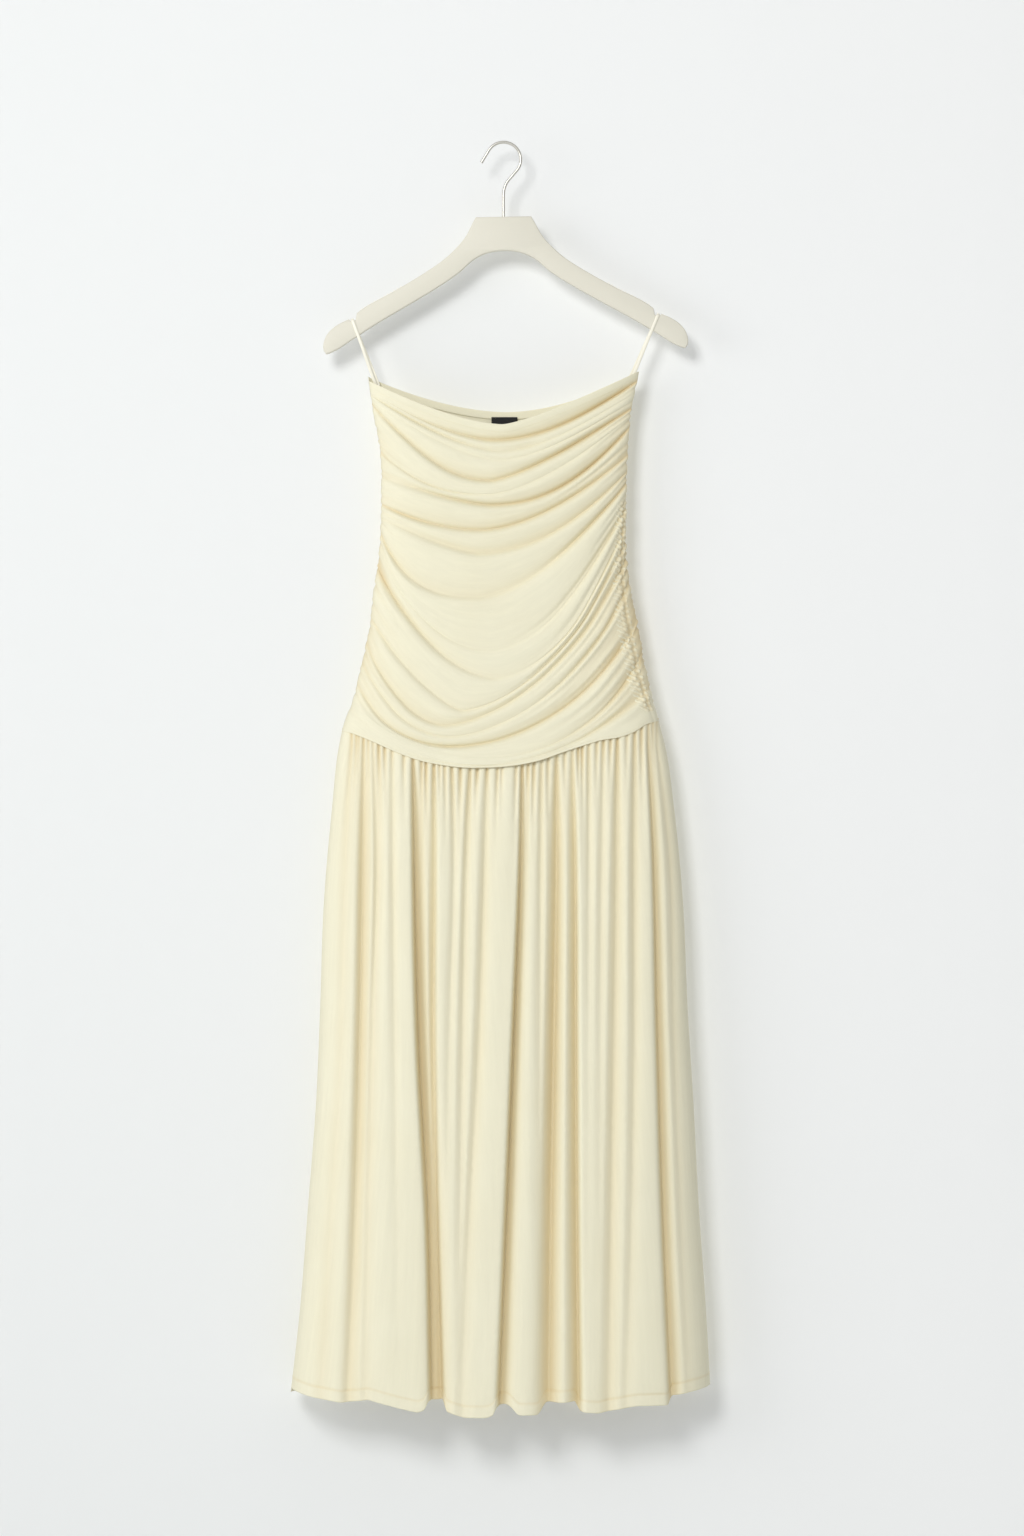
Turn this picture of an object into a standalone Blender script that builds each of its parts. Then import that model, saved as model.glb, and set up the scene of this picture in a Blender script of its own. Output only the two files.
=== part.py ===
"""A dropped waist dress that hangs from a board hanger by two ribbon loops.

Metres, +Z up. The front faces -Y and the hanger lies in the plane y = 0. The origin is the
point inside the hook's crook where the hook rests on what holds the hanger up. Tables are in
millimetres. A drop is a distance below the top of the side seams, and across is the distance
to the right of the hook as seen from the front.
"""

import math
from collections import namedtuple

import bmesh
import bpy
import numpy as np
from mathutils import Vector

MM = 0.001

# Driving dimensions
SIDE_TOP = 268.8
CLOTH_THICK = 1.2
SEAM_GAP = 0.3
SIDE_ROUNDING = 5.0
NECK_HALF_WIDTH = 150.0
GATHER_DEPTH = 2.6
GATHER_WIDTH = 3.0
GATHER_RUN = 42.0
FOLD_START = 60.0
FLANK_SHAPE = 1.6

HANGER_THICK = 9.0
HANGER_TOP = 84.9
HANGER_TILT = 1.0
HANGER_EDGE = 1.2
HANGER_SHARP_FROM = 35.0
WIRE_RADIUS = 1.75
CROOK_RADIUS = 20.0
CROOK_OPENS_AT = 149
CROOK_ENDS_AT = -38
CROOK_STEP = 11
TIP_LENGTH = 16.5
POST_BEND_FROM = 44.0
POST_BEND_TO = 54.0
POST_BEND_STEPS = 4

RIBBON_WIDTH = 4.0
RIBBON_THICK = 0.8
RIBBON_INSIDE = 12.0
RIBBON_SEAT = 1.8
RIBBON_BESIDE_BOARD = 34.0
RIBBON_END_RADIUS = 1.7
RIBBON_TURN_STEPS = 6

LABEL_LEFT = -14.0
LABEL_RIGHT = 16.0
LABEL_TOP = 46.5
LABEL_DROP = 12.0
LABEL_THICK = 0.8
LABEL_CLEAR = 0.7

Section = namedtuple("Section", "drop left right front back")
SECTIONS = (
    Section(-12, -159, 158, 16, 12),
    Section(0, -157, 156, 17, 13),
    Section(43, -151, 148, 20, 15),
    Section(84, -144, 145, 22, 16),
    Section(140, -142, 143, 24, 17),
    Section(196, -144, 143, 26, 18),
    Section(251, -151, 149, 28, 20),
    Section(293, -156, 158, 29, 21),
    Section(334, -165, 165, 30, 22),
    Section(376, -175, 174, 31, 23),
    Section(400, -184, 180, 32, 23),
    Section(432, -191, 188, 34, 24),
    Section(496, -198, 197, 38, 26),
    Section(612, -208, 208, 44, 28),
    Section(728, -212, 213, 48, 30),
    Section(843, -217, 220, 52, 31),
    Section(959, -226, 226, 57, 32),
    Section(1075, -235, 234, 61, 33),
    Section(1200, -249, 241, 65, 34),
)

# The edges of the panels: how far down each one is at a place across the dress.
Edge = namedtuple("Edge", "across drop")
WAIST_SEAM = (
    Edge(-190, 410),
    Edge(-175, 413),
    Edge(-154, 421),
    Edge(-120, 436),
    Edge(-97, 444),
    Edge(-73, 449),
    Edge(-50, 452),
    Edge(-21, 452.5),
    Edge(19, 449),
    Edge(42, 444),
    Edge(65, 436),
    Edge(89, 428),
    Edge(112, 421),
    Edge(135, 417),
    Edge(151, 411),
    Edge(164, 403),
    Edge(182, 398),
)
FRONT_HEM = (
    Edge(-247, 1175),
    Edge(-218, 1184),
    Edge(-184, 1186),
    Edge(-154, 1178),
    Edge(-120, 1186),
    Edge(-92, 1189),
    Edge(-78, 1183),
    Edge(-45, 1195),
    Edge(-20, 1195),
    Edge(-4, 1182),
    Edge(14, 1190),
    Edge(38, 1190),
    Edge(56, 1181),
    Edge(89, 1190),
    Edge(116, 1188),
    Edge(158, 1180),
    Edge(189, 1176),
    Edge(214, 1174),
    Edge(240, 1167),
)
BACK_HEM = (
    Edge(-247, 1175),
    Edge(-190, 1183),
    Edge(-120, 1181),
    Edge(-40, 1188),
    Edge(30, 1184),
    Edge(110, 1187),
    Edge(180, 1177),
    Edge(240, 1167),
)

# A drape crosses the bodice from side seam to side seam, hanging lowest at its sag. Its depths
# are those of its valley at the left, at the sag and at the right.
Drape = namedtuple("Drape", "left sag_across sag right left_bend right_bend depths")
FRONT_NECK = Drape(6, 0, 57.5, -5, 1.7, 1.3, (0, 0, 0))
FRONT_DRAPES = (
    Drape(18, -10, 75, 7, 1.75, 1.8, (2, 5, 7)),
    Drape(24, -4, 89, 22, 1.7, 1.6, (3, 3, 3)),
    Drape(34, -17, 122, 38, 1.9, 1.38, (5, 6, 8)),
    Drape(86, -20, 138, 48, 2.0, 1.7, (5, 3, 4)),
    Drape(113, -20, 151, 61, 1.6, 2.1, (4, 6, 7)),
    Drape(147, -29, 179, 90, 1.9, 1.8, (5, 7, 7)),
    Drape(164, -28, 206, 110, 1.7, 1.95, (4, 5, 6)),
    Drape(184, -27, 257, 127, 2.3, 1.7, (5, 5, 6)),
    Drape(221, -18, 338, 160, 2.0, 1.7, (6, 4, 6)),
    Drape(278, -40, 388, 186, 1.5, 1.7, (5, 4, 5)),
    Drape(306, -50, 405, 209, 1.7, 1.7, (6, 5, 7)),
    Drape(329, -52, 418, 234, 1.8, 1.75, (5, 4, 5)),
    Drape(354, -50, 430, 276, 2.0, 1.9, (7, 7, 9)),
    Drape(375, -30, 441, 316, 2.0, 2.0, (4, 3, 6)),
)
BACK_NECK = Drape(1, 5, 40.5, -5, 1.75, 1.7, (0, 0, 0))
BACK_DRAPES = (
    Drape(24, 12, 72, 20, 1.8, 1.8, (3, 3, 3)),
    Drape(50, 18, 104, 34, 1.8, 1.9, (5, 5, 5)),
    Drape(76, 8, 141, 66, 2.0, 1.8, (6, 4, 5)),
    Drape(109, 14, 172, 98, 1.9, 2.0, (5, 6, 6)),
    Drape(140, 22, 214, 133, 1.8, 2.0, (6, 5, 5)),
    Drape(172, 16, 262, 171, 1.9, 1.8, (5, 6, 7)),
    Drape(214, 24, 315, 214, 1.9, 1.9, (6, 5, 5)),
    Drape(258, 30, 372, 258, 1.8, 1.9, (6, 6, 6)),
    Drape(303, 26, 410, 299, 1.8, 1.8, (5, 4, 5)),
    Drape(349, 20, 432, 340, 1.9, 1.9, (4, 4, 4)),
)

# Below a valley the cloth stands out at once, then falls back slowly to the next valley. Each
# row says how far down the drape it is, and the share it has of the valleys above and below.
DrapeRow = namedtuple("DrapeRow", "down above below")
DRAPE_ROWS = (DrapeRow(0, 1, 0), DrapeRow(0.24, 0.18, 0.1), DrapeRow(0.64, 0, 0.42), DrapeRow(1, 0, 1))
BODICE_PARTS = np.array([0, 0.15, 0.3, 0.45, 0.6, 0.73, 0.84, 0.92, 0.97, 0.993, 1])

# A fold's valley runs down the skirt through five levels. Beside its depths at the top, in the
# middle and at the hem it says how far its left and right flanks reach, and how many small
# gathers lie between it and the next fold.
LEVELS = (427, 537, 757, 988, 1167)
DEPTH_LEVELS = (427, 757, 1167)
Fold = namedtuple("Fold", "across depths left right gathers")
FRONT_FOLDS = (
    Fold((-175, -182, -187, -200, -210), (6, 4, 5), 9, 12, 1),
    Fold((-161, -162, -166, -171, -177), (14, 16, 10), 8, 18, 1),
    Fold((-150, -146, -151, -156, -159), (7, 6, 3), 7, 9, 4),
    Fold((-105, -104, -99, -87, -81), (14, 24, 32), 5, 13, 2),
    Fold((-80, -79, -80, -76, -71), (9, 14, 28), 7, 6, 5),
    Fold((-21, -24, -31, -44, -52), (8, 7, 3), 10, 10, 3),
    Fold((21, 20, 12, 3, -4), (12, 24, 31), 8, 8, 3),
    Fold((61, 61, 58, 54, 51), (12, 21, 28), 11, 9, 1),
    Fold((79, 82, 83, 84, 84), (9, 13, 18), 8, 6, 4),
    Fold((131, 130, 126, 122, 118), (8, 7, 5), 10, 11, 1),
    Fold((151, 150, 150, 144, 136), (9, 6, 3), 9, 9, 1),
    Fold((167, 172, 176, 183, 191), (13, 24, 25), 5, 12, 1),
)
BACK_FOLDS = (
    Fold((-170, -176, -183, -193, -200), (8, 9, 10), 10, 12, 4),
    Fold((-128, -131, -137, -146, -152), (9, 12, 14), 12, 9, 4),
    Fold((-88, -88, -92, -96, -101), (8, 10, 13), 9, 13, 3),
    Fold((-52, -50, -48, -52, -55), (7, 9, 12), 11, 11, 3),
    Fold((-14, -12, -9, -7, -8), (9, 13, 16), 12, 9, 3),
    Fold((22, 26, 31, 34, 39), (7, 9, 10), 10, 12, 4),
    Fold((66, 69, 74, 81, 86), (9, 12, 15), 9, 13, 3),
    Fold((104, 107, 113, 121, 128), (8, 10, 11), 11, 11, 3),
    Fold((146, 152, 160, 170, 177), (9, 12, 13), 12, 10, 3),
)

# Half of the hanger's outline, from the top of its neck round to the middle of its arch.
Corner = namedtuple("Corner", "out down")
HANGER_OUTLINE = (
    Corner(32, 0),
    Corner(36, 7),
    Corner(44, 22),
    Corner(56, 36),
    Corner(72, 50),
    Corner(91, 62.5),
    Corner(129, 84.5),
    Corner(166, 104.5),
    Corner(171.5, 108.5),
    Corner(173, 116.5),
    Corner(178.5, 117.5),
    Corner(181, 115.5),
    Corner(190, 119.5),
    Corner(199, 125),
    Corner(206, 132),
    Corner(210.5, 142),
    Corner(211, 150),
    Corner(208, 155),
    Corner(200, 152.5),
    Corner(176, 138),
    Corner(145, 119),
    Corner(114, 101.5),
    Corner(82, 83),
    Corner(51, 62.5),
    Corner(36, 49.5),
    Corner(21, 42),
    Corner(10, 39.6),
)
ARCH_TOP = 39.0

# The middle of the notch that a ribbon loop passes over, and where each loop enters the dress.
NOTCH = Corner(176, 117)
RIBBON_ENTERS = {"hanger_loop_left": -145.5, "hanger_loop_right": 143.5}

# Where the skirt has its columns of points, between two lines and beside the side seams, and
# its rows, 0 at the waist seam and 1 at the hem.
EDGE_LABELS = (0, 0.05, 0.2, 0.5)
BETWEEN_LINES = (0, 0.33, 0.67)
BETWEEN_WIDE_LINES = (0, 0.12, 0.3, 0.5, 0.7, 0.88)
WIDE_GAP = 34
GATHERED_ROWS = (0, 0.012, 0.035, 0.075)
HANGING_ROWS = (0.13, 0.22, 0.34, 0.47, 0.61, 0.75, 0.88, 1)
SETTLING_STEPS = 6

# A surface's colour, roughness and metalness.
COLOURS = {
    "cloth": ((0.83, 0.77, 0.55, 1.0), 0.8, 0.0),
    "ribbon": ((0.86, 0.83, 0.70, 1.0), 0.45, 0.0),
    "label": ((0.02, 0.02, 0.022, 1.0), 0.7, 0.0),
    "board": ((0.76, 0.73, 0.61, 1.0), 0.5, 0.0),
    "wire": ((0.55, 0.54, 0.5, 1.0), 0.3, 1.0),
}


def through(knots, values, at):
    """A smooth curve through a table's rows, level past its ends."""
    knots = np.asarray(knots, float)
    values = np.asarray(values, float)
    slopes = np.gradient(values, knots)
    at = np.clip(at, knots[0], knots[-1])
    row = np.clip(np.searchsorted(knots, at, side="right") - 1, 0, len(knots) - 2)
    span = knots[row + 1] - knots[row]
    f = (at - knots[row]) / span
    start = values[row] * (2 * f**3 - 3 * f**2 + 1) + slopes[row] * span * (f**3 - 2 * f**2 + f)
    end = values[row + 1] * (3 * f**2 - 2 * f**3) + slopes[row + 1] * span * (f**3 - f**2)
    return start + end


def section(column, drop):
    return through([s.drop for s in SECTIONS], [getattr(s, column) for s in SECTIONS], drop)


def edge(table, across):
    return through([e.across for e in table], [e.drop for e in table], across)


def side_profile(part):
    """How far out the panel bulges at a part of its half width: 0 at a side seam, 1 in front."""
    return np.sqrt(np.clip(1 - np.abs(part) ** SIDE_ROUNDING, 0, 1))


def place(across, out, drop):
    """A point from its place across, its distance in front of the side seams and its drop."""
    return np.stack([across * MM, -out * MM, -(SIDE_TOP + drop) * MM], axis=-1)


def material(name):
    found = bpy.data.materials.get(name)
    if found:
        return found
    colour, roughness, metallic = COLOURS[name]
    made = bpy.data.materials.new(name)
    made.use_nodes = True
    shader = made.node_tree.nodes["Principled BSDF"]
    shader.inputs["Base Color"].default_value = colour
    shader.inputs["Roughness"].default_value = roughness
    shader.inputs["Metallic"].default_value = metallic
    return made


def add_object(name, bm, material_name, smooth_below=None):
    mesh = bpy.data.meshes.new(name)
    bm.to_mesh(mesh)
    bm.free()
    if smooth_below:
        mesh.shade_smooth()
        mesh.set_sharp_from_angle(angle=math.radians(smooth_below))
    mesh.materials.append(material(material_name))
    made = bpy.data.objects.new(name, mesh)
    bpy.context.collection.objects.link(made)
    return made


def lace(bm, upper, lower):
    """Triangles between two rows, each a list of (label, vertex) in rising order of label."""
    i = 0
    j = 0
    while i < len(upper) - 1 or j < len(lower) - 1:
        upper_next = i < len(upper) - 1
        if upper_next and j < len(lower) - 1:
            upper_next = upper[i + 1][0] <= lower[j + 1][0]
        if upper_next:
            bm.faces.new((upper[i][1], lower[j][1], upper[i + 1][1]))
            i += 1
        else:
            bm.faces.new((upper[i][1], lower[j][1], lower[j + 1][1]))
            j += 1


def add_wall(name, rows, material_name, thickness=CLOTH_THICK, faces_back=False):
    """A cloth wall: rows of points are its outer side, and its inner side follows their normals.

    The wall's top and bottom edges stay level and its side edges stay square to the seams, so
    that it meets its neighbours face to face.
    """
    bm = bmesh.new()
    laid = []
    for labels, points in rows:
        laid.append([(label, bm.verts.new(point)) for label, point in zip(labels, points)])
    for upper, lower in zip(laid, laid[1:]):
        lace(bm, upper, lower)
    if faces_back:
        bmesh.ops.reverse_faces(bm, faces=bm.faces[:])
    bm.normal_update()
    level = {vert for row in (laid[0], laid[-1]) for _, vert in row}
    square = {row[end][1] for row in laid for end in (0, -1)}
    inner = {}
    outer_faces = bm.faces[:]
    rims = [e.link_loops[0] for e in bm.edges if e.is_boundary]
    rims = [(loop.vert, loop.link_loop_next.vert) for loop in rims]
    for vert in bm.verts[:]:
        inward = -vert.normal * thickness * MM
        if vert in level:
            inward.z = 0
        if vert in square:
            inward.y = 0
        inner[vert] = bm.verts.new(vert.co + inward)
    for face in outer_faces:
        bm.faces.new([inner[vert] for vert in reversed(face.verts)])
    for start, end in rims:
        bm.faces.new((end, start, inner[start], inner[end]))
    bmesh.ops.triangulate(bm, faces=[face for face in bm.faces if len(face.verts) > 3])
    return add_object(name, bm, material_name)


def drape_drop(drape, part):
    """How far down a drape is at each part of the half width, -1 at the left side seam."""
    sag_part = drape.sag_across / NECK_HALF_WIDTH
    left = np.clip((sag_part - part) / (sag_part + 1), 0, 1) ** drape.left_bend
    right = np.clip((part - sag_part) / (1 - sag_part), 0, 1) ** drape.right_bend
    return drape.sag - (drape.sag - drape.left) * left - (drape.sag - drape.right) * right


def drape_depth(drape, part):
    return through((-1, drape.sag_across / NECK_HALF_WIDTH, 1), drape.depths, part)


def valley_at(down, depth_above, depth_below):
    """How far the cloth is drawn in at a share of the way from one valley down to the next."""
    above = np.interp(down, [row.down for row in DRAPE_ROWS], [row.above for row in DRAPE_ROWS])
    below = np.interp(down, [row.down for row in DRAPE_ROWS], [row.below for row in DRAPE_ROWS])
    return depth_above * above + depth_below * below


def across_at(part, drop):
    left = section("left", drop)
    right = section("right", drop)
    return (left + right) / 2 + part * (right - left) / 2


def part_at(across, drop):
    left = section("left", drop)
    right = section("right", drop)
    return (across - left) / (right - left) * 2 - 1


def seam_drop(part, shift):
    """How far down the waist seam is at each part of the half width."""
    drop = np.full_like(part, LEVELS[0])
    for _ in range(SETTLING_STEPS):
        drop = edge(WAIST_SEAM, across_at(part, drop))
    return drop + shift


def add_bodice(name, neck, drapes, folds, column, faces_back):
    """A bodice panel: its rows of points run along the drapes, three to each.

    Its last row lies just above the skirt's gathered edge, point for point.
    """
    part = np.concatenate([-BODICE_PARTS[:0:-1], BODICE_PARTS])
    bulge = side_profile(part)
    drops = [drape_drop(drape, part) for drape in (neck,) + drapes]
    drops.append(seam_drop(part, -SEAM_GAP / 2))
    depths = [drape_depth(drape, part) for drape in (neck,) + drapes]
    depths.append(np.zeros_like(part))
    facing = -1 if faces_back else 1
    rows = []
    for above, below, depth_above, depth_below in zip(drops, drops[1:], depths, depths[1:]):
        for row in DRAPE_ROWS[:-1]:
            drop = above + (below - above) * row.down
            valley = valley_at(row.down, depth_above, depth_below)
            out = (section(column, drop) - valley) * bulge + SEAM_GAP / 2
            rows.append((part, place(across_at(part, drop), facing * out, drop)))
    across, drop, out = skirt_row(folds, WAIST_SEAM, gathered_labels(folds), 0, column)
    rows.append((part_at(across, drop), place(across, facing * out, drop - SEAM_GAP)))
    return add_wall(name, rows, "cloth", faces_back=faces_back)


def fold_lines(folds, drop):
    """The places across of the left edge, each fold's valley and the right edge at a drop."""
    lines = [section("left", drop)]
    lines += [through(LEVELS, fold.across, drop) for fold in folds]
    return lines + [section("right", drop)]


def gather_labels(folds):
    """Every gather as a label: the line to its left, and how far it is to the next line."""
    labels = []
    for line, fold in enumerate(folds, start=1):
        labels += [line + k / (fold.gathers + 1) for k in range(fold.gathers + 1)]
    return labels


def skirt_fall(folds, across, drop, below_seam):
    """How far the folds and the gathers draw the panel in at each point."""
    opened = 1 - np.exp(-below_seam / FOLD_START)
    total = np.zeros_like(across)
    for fold in folds:
        centre = through(LEVELS, fold.across, drop)
        depth = through(DEPTH_LEVELS, fold.depths, drop) * opened
        reach = np.where(across < centre, fold.left, fold.right)
        total += (depth * np.exp(-np.abs((across - centre) / reach) ** FLANK_SHAPE)) ** 3
    lines = np.array(fold_lines(folds, drop))
    small = np.zeros_like(across)
    for label in gather_labels(folds):
        line = int(label)
        centre = lines[line] + (lines[line + 1] - lines[line]) * (label - line)
        small = np.maximum(small, np.exp(-(((across - centre) / GATHER_WIDTH) ** 2)))
    return np.cbrt(total) + GATHER_DEPTH * small * np.exp(-below_seam / GATHER_RUN)


def gathered_labels(folds):
    """Three columns to each gather, and a few round each side."""
    last = len(folds) + 1 - EDGE_LABELS[-1]
    gathers = [label for label in gather_labels(folds) if label < last] + [last]
    labels = list(EDGE_LABELS)
    for start, end in zip(gathers, gathers[1:]):
        labels += [start + (end - start) * f for f in BETWEEN_LINES]
    return labels + [len(folds) + 1 - label for label in reversed(EDGE_LABELS)]


def hanging_labels(folds):
    """More columns where two folds lie far apart, and a few round each side."""
    labels = list(EDGE_LABELS)
    lines = fold_lines(folds, LEVELS[2])
    for line in range(1, len(folds)):
        wide = lines[line + 1] - lines[line] > WIDE_GAP
        labels += [line + f for f in (BETWEEN_WIDE_LINES if wide else BETWEEN_LINES)]
    labels.append(len(folds))
    return labels + [len(folds) + 1 - label for label in reversed(EDGE_LABELS)]


def skirt_row(folds, hem, labels, t, column):
    """A row's points, t being 0 at the waist seam and 1 at the hem: across, drop and out."""
    labels = np.array(labels)
    line = np.minimum(np.floor(labels).astype(int), len(folds))
    count = np.arange(len(labels))
    drop = np.full(len(labels), LEVELS[0] + t * (LEVELS[-1] - LEVELS[0]), float)
    for _ in range(SETTLING_STEPS):
        lines = np.array(fold_lines(folds, drop))
        start = lines[line, count]
        end = lines[line + 1, count]
        across = start + (end - start) * (labels - line)
        top = edge(WAIST_SEAM, across) + SEAM_GAP / 2
        drop = top + (edge(hem, across) - top) * t
    fall = skirt_fall(folds, across, drop, drop - top)
    out = (section(column, drop) - fall) * side_profile(part_at(across, drop)) + SEAM_GAP / 2
    return across, drop, out


def add_skirt(name, folds, hem, column, faces_back):
    facing = -1 if faces_back else 1
    rows = []
    for heights, labels in (
        (GATHERED_ROWS, gathered_labels(folds)),
        (HANGING_ROWS, hanging_labels(folds)),
    ):
        for t in heights:
            across, drop, out = skirt_row(folds, hem, labels, t, column)
            rows.append((labels, place(across, facing * out, drop)))
    return add_wall(name, rows, "cloth", faces_back=faces_back)


def back_inside(across, drop):
    """How far behind the side seams the inner side of the bodice's back is, below its neck."""
    part = across / NECK_HALF_WIDTH
    first = BACK_DRAPES[0]
    top = drape_drop(BACK_NECK, part)
    down = np.clip((drop - top) / (drape_drop(first, part) - top), 0, 1)
    valley = valley_at(down, drape_depth(BACK_NECK, part), drape_depth(first, part))
    return (section("back", drop) - valley) * side_profile(part_at(across, drop)) - CLOTH_THICK


def add_label():
    """The label lies on the inner side of the back, its top edge showing over the front."""
    across = np.linspace(LABEL_LEFT, LABEL_RIGHT, 4)
    rows = []
    for t in (0, 0.5, 1):
        drop = np.full_like(across, LABEL_TOP + LABEL_DROP * t)
        behind = back_inside(across, drop) - LABEL_THICK - LABEL_CLEAR
        rows.append((across, place(across, -behind, drop)))
    return add_wall("neck_label", rows, "label", thickness=LABEL_THICK)


def on_hanger(out, down):
    """A point of the board's middle plane, once the board is tilted about the hook's foot."""
    tilt = math.radians(HANGER_TILT)
    across = out * math.cos(tilt) + down * math.sin(tilt)
    height = out * math.sin(tilt) - down * math.cos(tilt)
    return Vector((across, 0, height - HANGER_TOP))


def add_hanger():
    right = [(c.out, c.down) for c in HANGER_OUTLINE]
    left = [(-out, down) for out, down in reversed(right)]
    outline = right + [(0, ARCH_TOP)] + left
    bm = bmesh.new()
    front = []
    for out, down in outline:
        co = on_hanger(out, down) - Vector((0, HANGER_THICK / 2, 0))
        front.append(bm.verts.new(co * MM))
    face = bm.faces.new(front)
    bm.normal_update()
    if face.normal.y > 0:
        face.normal_flip()
    grown = bmesh.ops.extrude_face_region(bm, geom=[face], use_keep_orig=True)
    moved = [item for item in grown["geom"] if isinstance(item, bmesh.types.BMVert)]
    bmesh.ops.translate(bm, verts=moved, vec=(0, HANGER_THICK * MM, 0))
    bmesh.ops.recalc_face_normals(bm, faces=bm.faces[:])
    flat = [f for f in bm.faces if abs(f.normal.y) > abs(f.normal.x) + abs(f.normal.z)]
    rims = list({e for f in flat for e in f.edges})
    bmesh.ops.bevel(bm, geom=rims, offset=HANGER_EDGE * MM, segments=1, profile=0.5, affect="EDGES")
    bmesh.ops.triangulate(bm, faces=[f for f in bm.faces if len(f.verts) > 4])
    return add_object("hanger", bm, "board", smooth_below=HANGER_SHARP_FROM)


def hook_path():
    """The wire's centre line from its tip, over the crook and down to the hanger."""
    centre = Vector((0, 0, WIRE_RADIUS - CROOK_RADIUS))
    path = []
    for angle in range(CROOK_OPENS_AT, CROOK_ENDS_AT - 1, -CROOK_STEP):
        turn = math.radians(angle)
        path.append(centre + CROOK_RADIUS * Vector((math.cos(turn), 0, math.sin(turn))))
    opens = math.radians(CROOK_OPENS_AT)
    away = Vector((-math.sin(opens), 0, math.cos(opens)))
    path.insert(0, path[0] + TIP_LENGTH * away)
    corner = Vector((0, 0, -(POST_BEND_FROM + POST_BEND_TO) / 2))
    start = corner.lerp(path[-1], (POST_BEND_TO - POST_BEND_FROM) / 2 / (corner - path[-1]).length)
    end = Vector((0, 0, -POST_BEND_TO))
    for step in range(POST_BEND_STEPS + 1):
        f = step / POST_BEND_STEPS
        path.append(start.lerp(corner, f).lerp(corner.lerp(end, f), f))
    path.append(Vector((0, 0, -HANGER_TOP + SEAM_GAP)))
    return path


def add_hook():
    curve = bpy.data.curves.new("hanger_hook", "CURVE")
    curve.dimensions = "3D"
    curve.bevel_depth = WIRE_RADIUS * MM
    curve.bevel_resolution = 2
    curve.use_fill_caps = True
    path = hook_path()
    spline = curve.splines.new("POLY")
    spline.points.add(len(path) - 1)
    for point, co in zip(spline.points, path):
        point.co = (*(co * MM), 1)
    curve.materials.append(material("wire"))
    made = bpy.data.objects.new("hanger_hook", curve)
    bpy.context.collection.objects.link(made)
    return made


def loop_outline(length, over_radius, end_radius):
    """A closed ring of ribbon seen from its edge: (along, out) pairs, wide where it goes over."""
    turns = [math.pi * step / RIBBON_TURN_STEPS for step in range(RIBBON_TURN_STEPS + 1)]
    over = [(-over_radius * math.sin(a), over_radius * math.cos(a)) for a in turns]
    over = [(RIBBON_BESIDE_BOARD, over_radius)] + over + [(RIBBON_BESIDE_BOARD, -over_radius)]
    under = [(length + end_radius * math.sin(a), -end_radius * math.cos(a)) for a in turns]
    return over + under


def add_loop(name, enters):
    """A flat ribbon goes up in front of the hanger, over its notch and down behind it."""
    over = on_hanger(math.copysign(NOTCH.out, enters), NOTCH.down + RIBBON_SEAT)
    into = Vector((enters, 0, -(SIDE_TOP + RIBBON_INSIDE)))
    along = (into - over).normalized()
    wide = along.cross(Vector((0, 1, 0)))
    over_radius = HANGER_THICK / 2 + SEAM_GAP + RIBBON_THICK
    length = (into - over).length - RIBBON_END_RADIUS
    bm = bmesh.new()
    layers = []
    for thin in (0, RIBBON_THICK):
        ring = loop_outline(length, over_radius - thin, RIBBON_END_RADIUS - thin)
        for half_width in (-RIBBON_WIDTH / 2, RIBBON_WIDTH / 2):
            points = [over + along * a + Vector((0, 1, 0)) * out + wide * half_width for a, out in ring]
            layers.append([bm.verts.new(point * MM) for point in points])
    outer_near, outer_far, inner_near, inner_far = layers
    for first, second in (
        (outer_near, outer_far),
        (outer_far, inner_far),
        (inner_far, inner_near),
        (inner_near, outer_near),
    ):
        for k in range(len(first)):
            after = (k + 1) % len(first)
            bm.faces.new((first[k], first[after], second[after], second[k]))
    bmesh.ops.recalc_face_normals(bm, faces=bm.faces[:])
    return add_object(name, bm, "ribbon")


def main():
    for old in list(bpy.data.objects):
        bpy.data.objects.remove(old, do_unlink=True)
    add_bodice("bodice_front", FRONT_NECK, FRONT_DRAPES, FRONT_FOLDS, "front", False)
    add_bodice("bodice_back", BACK_NECK, BACK_DRAPES, BACK_FOLDS, "back", True)
    add_skirt("skirt_front", FRONT_FOLDS, FRONT_HEM, "front", False)
    add_skirt("skirt_back", BACK_FOLDS, BACK_HEM, "back", True)
    add_label()
    for name, enters in RIBBON_ENTERS.items():
        add_loop(name, enters)
    add_hanger()
    add_hook()


main()
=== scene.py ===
import math
import random

import bmesh
import bpy
import numpy as np
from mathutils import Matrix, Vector


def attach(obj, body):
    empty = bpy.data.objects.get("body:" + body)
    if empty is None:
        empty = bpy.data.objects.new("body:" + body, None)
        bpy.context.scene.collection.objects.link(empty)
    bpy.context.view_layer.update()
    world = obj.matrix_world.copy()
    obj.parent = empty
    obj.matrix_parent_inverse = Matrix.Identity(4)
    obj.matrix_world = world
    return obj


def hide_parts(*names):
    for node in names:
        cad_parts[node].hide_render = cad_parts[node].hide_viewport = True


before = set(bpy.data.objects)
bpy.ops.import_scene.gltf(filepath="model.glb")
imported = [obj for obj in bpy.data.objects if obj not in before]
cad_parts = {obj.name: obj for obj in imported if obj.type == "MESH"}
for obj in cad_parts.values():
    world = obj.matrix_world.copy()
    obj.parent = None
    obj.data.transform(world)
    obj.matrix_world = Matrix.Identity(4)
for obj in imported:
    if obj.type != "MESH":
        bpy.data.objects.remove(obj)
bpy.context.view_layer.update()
mm = 0.001

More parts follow.
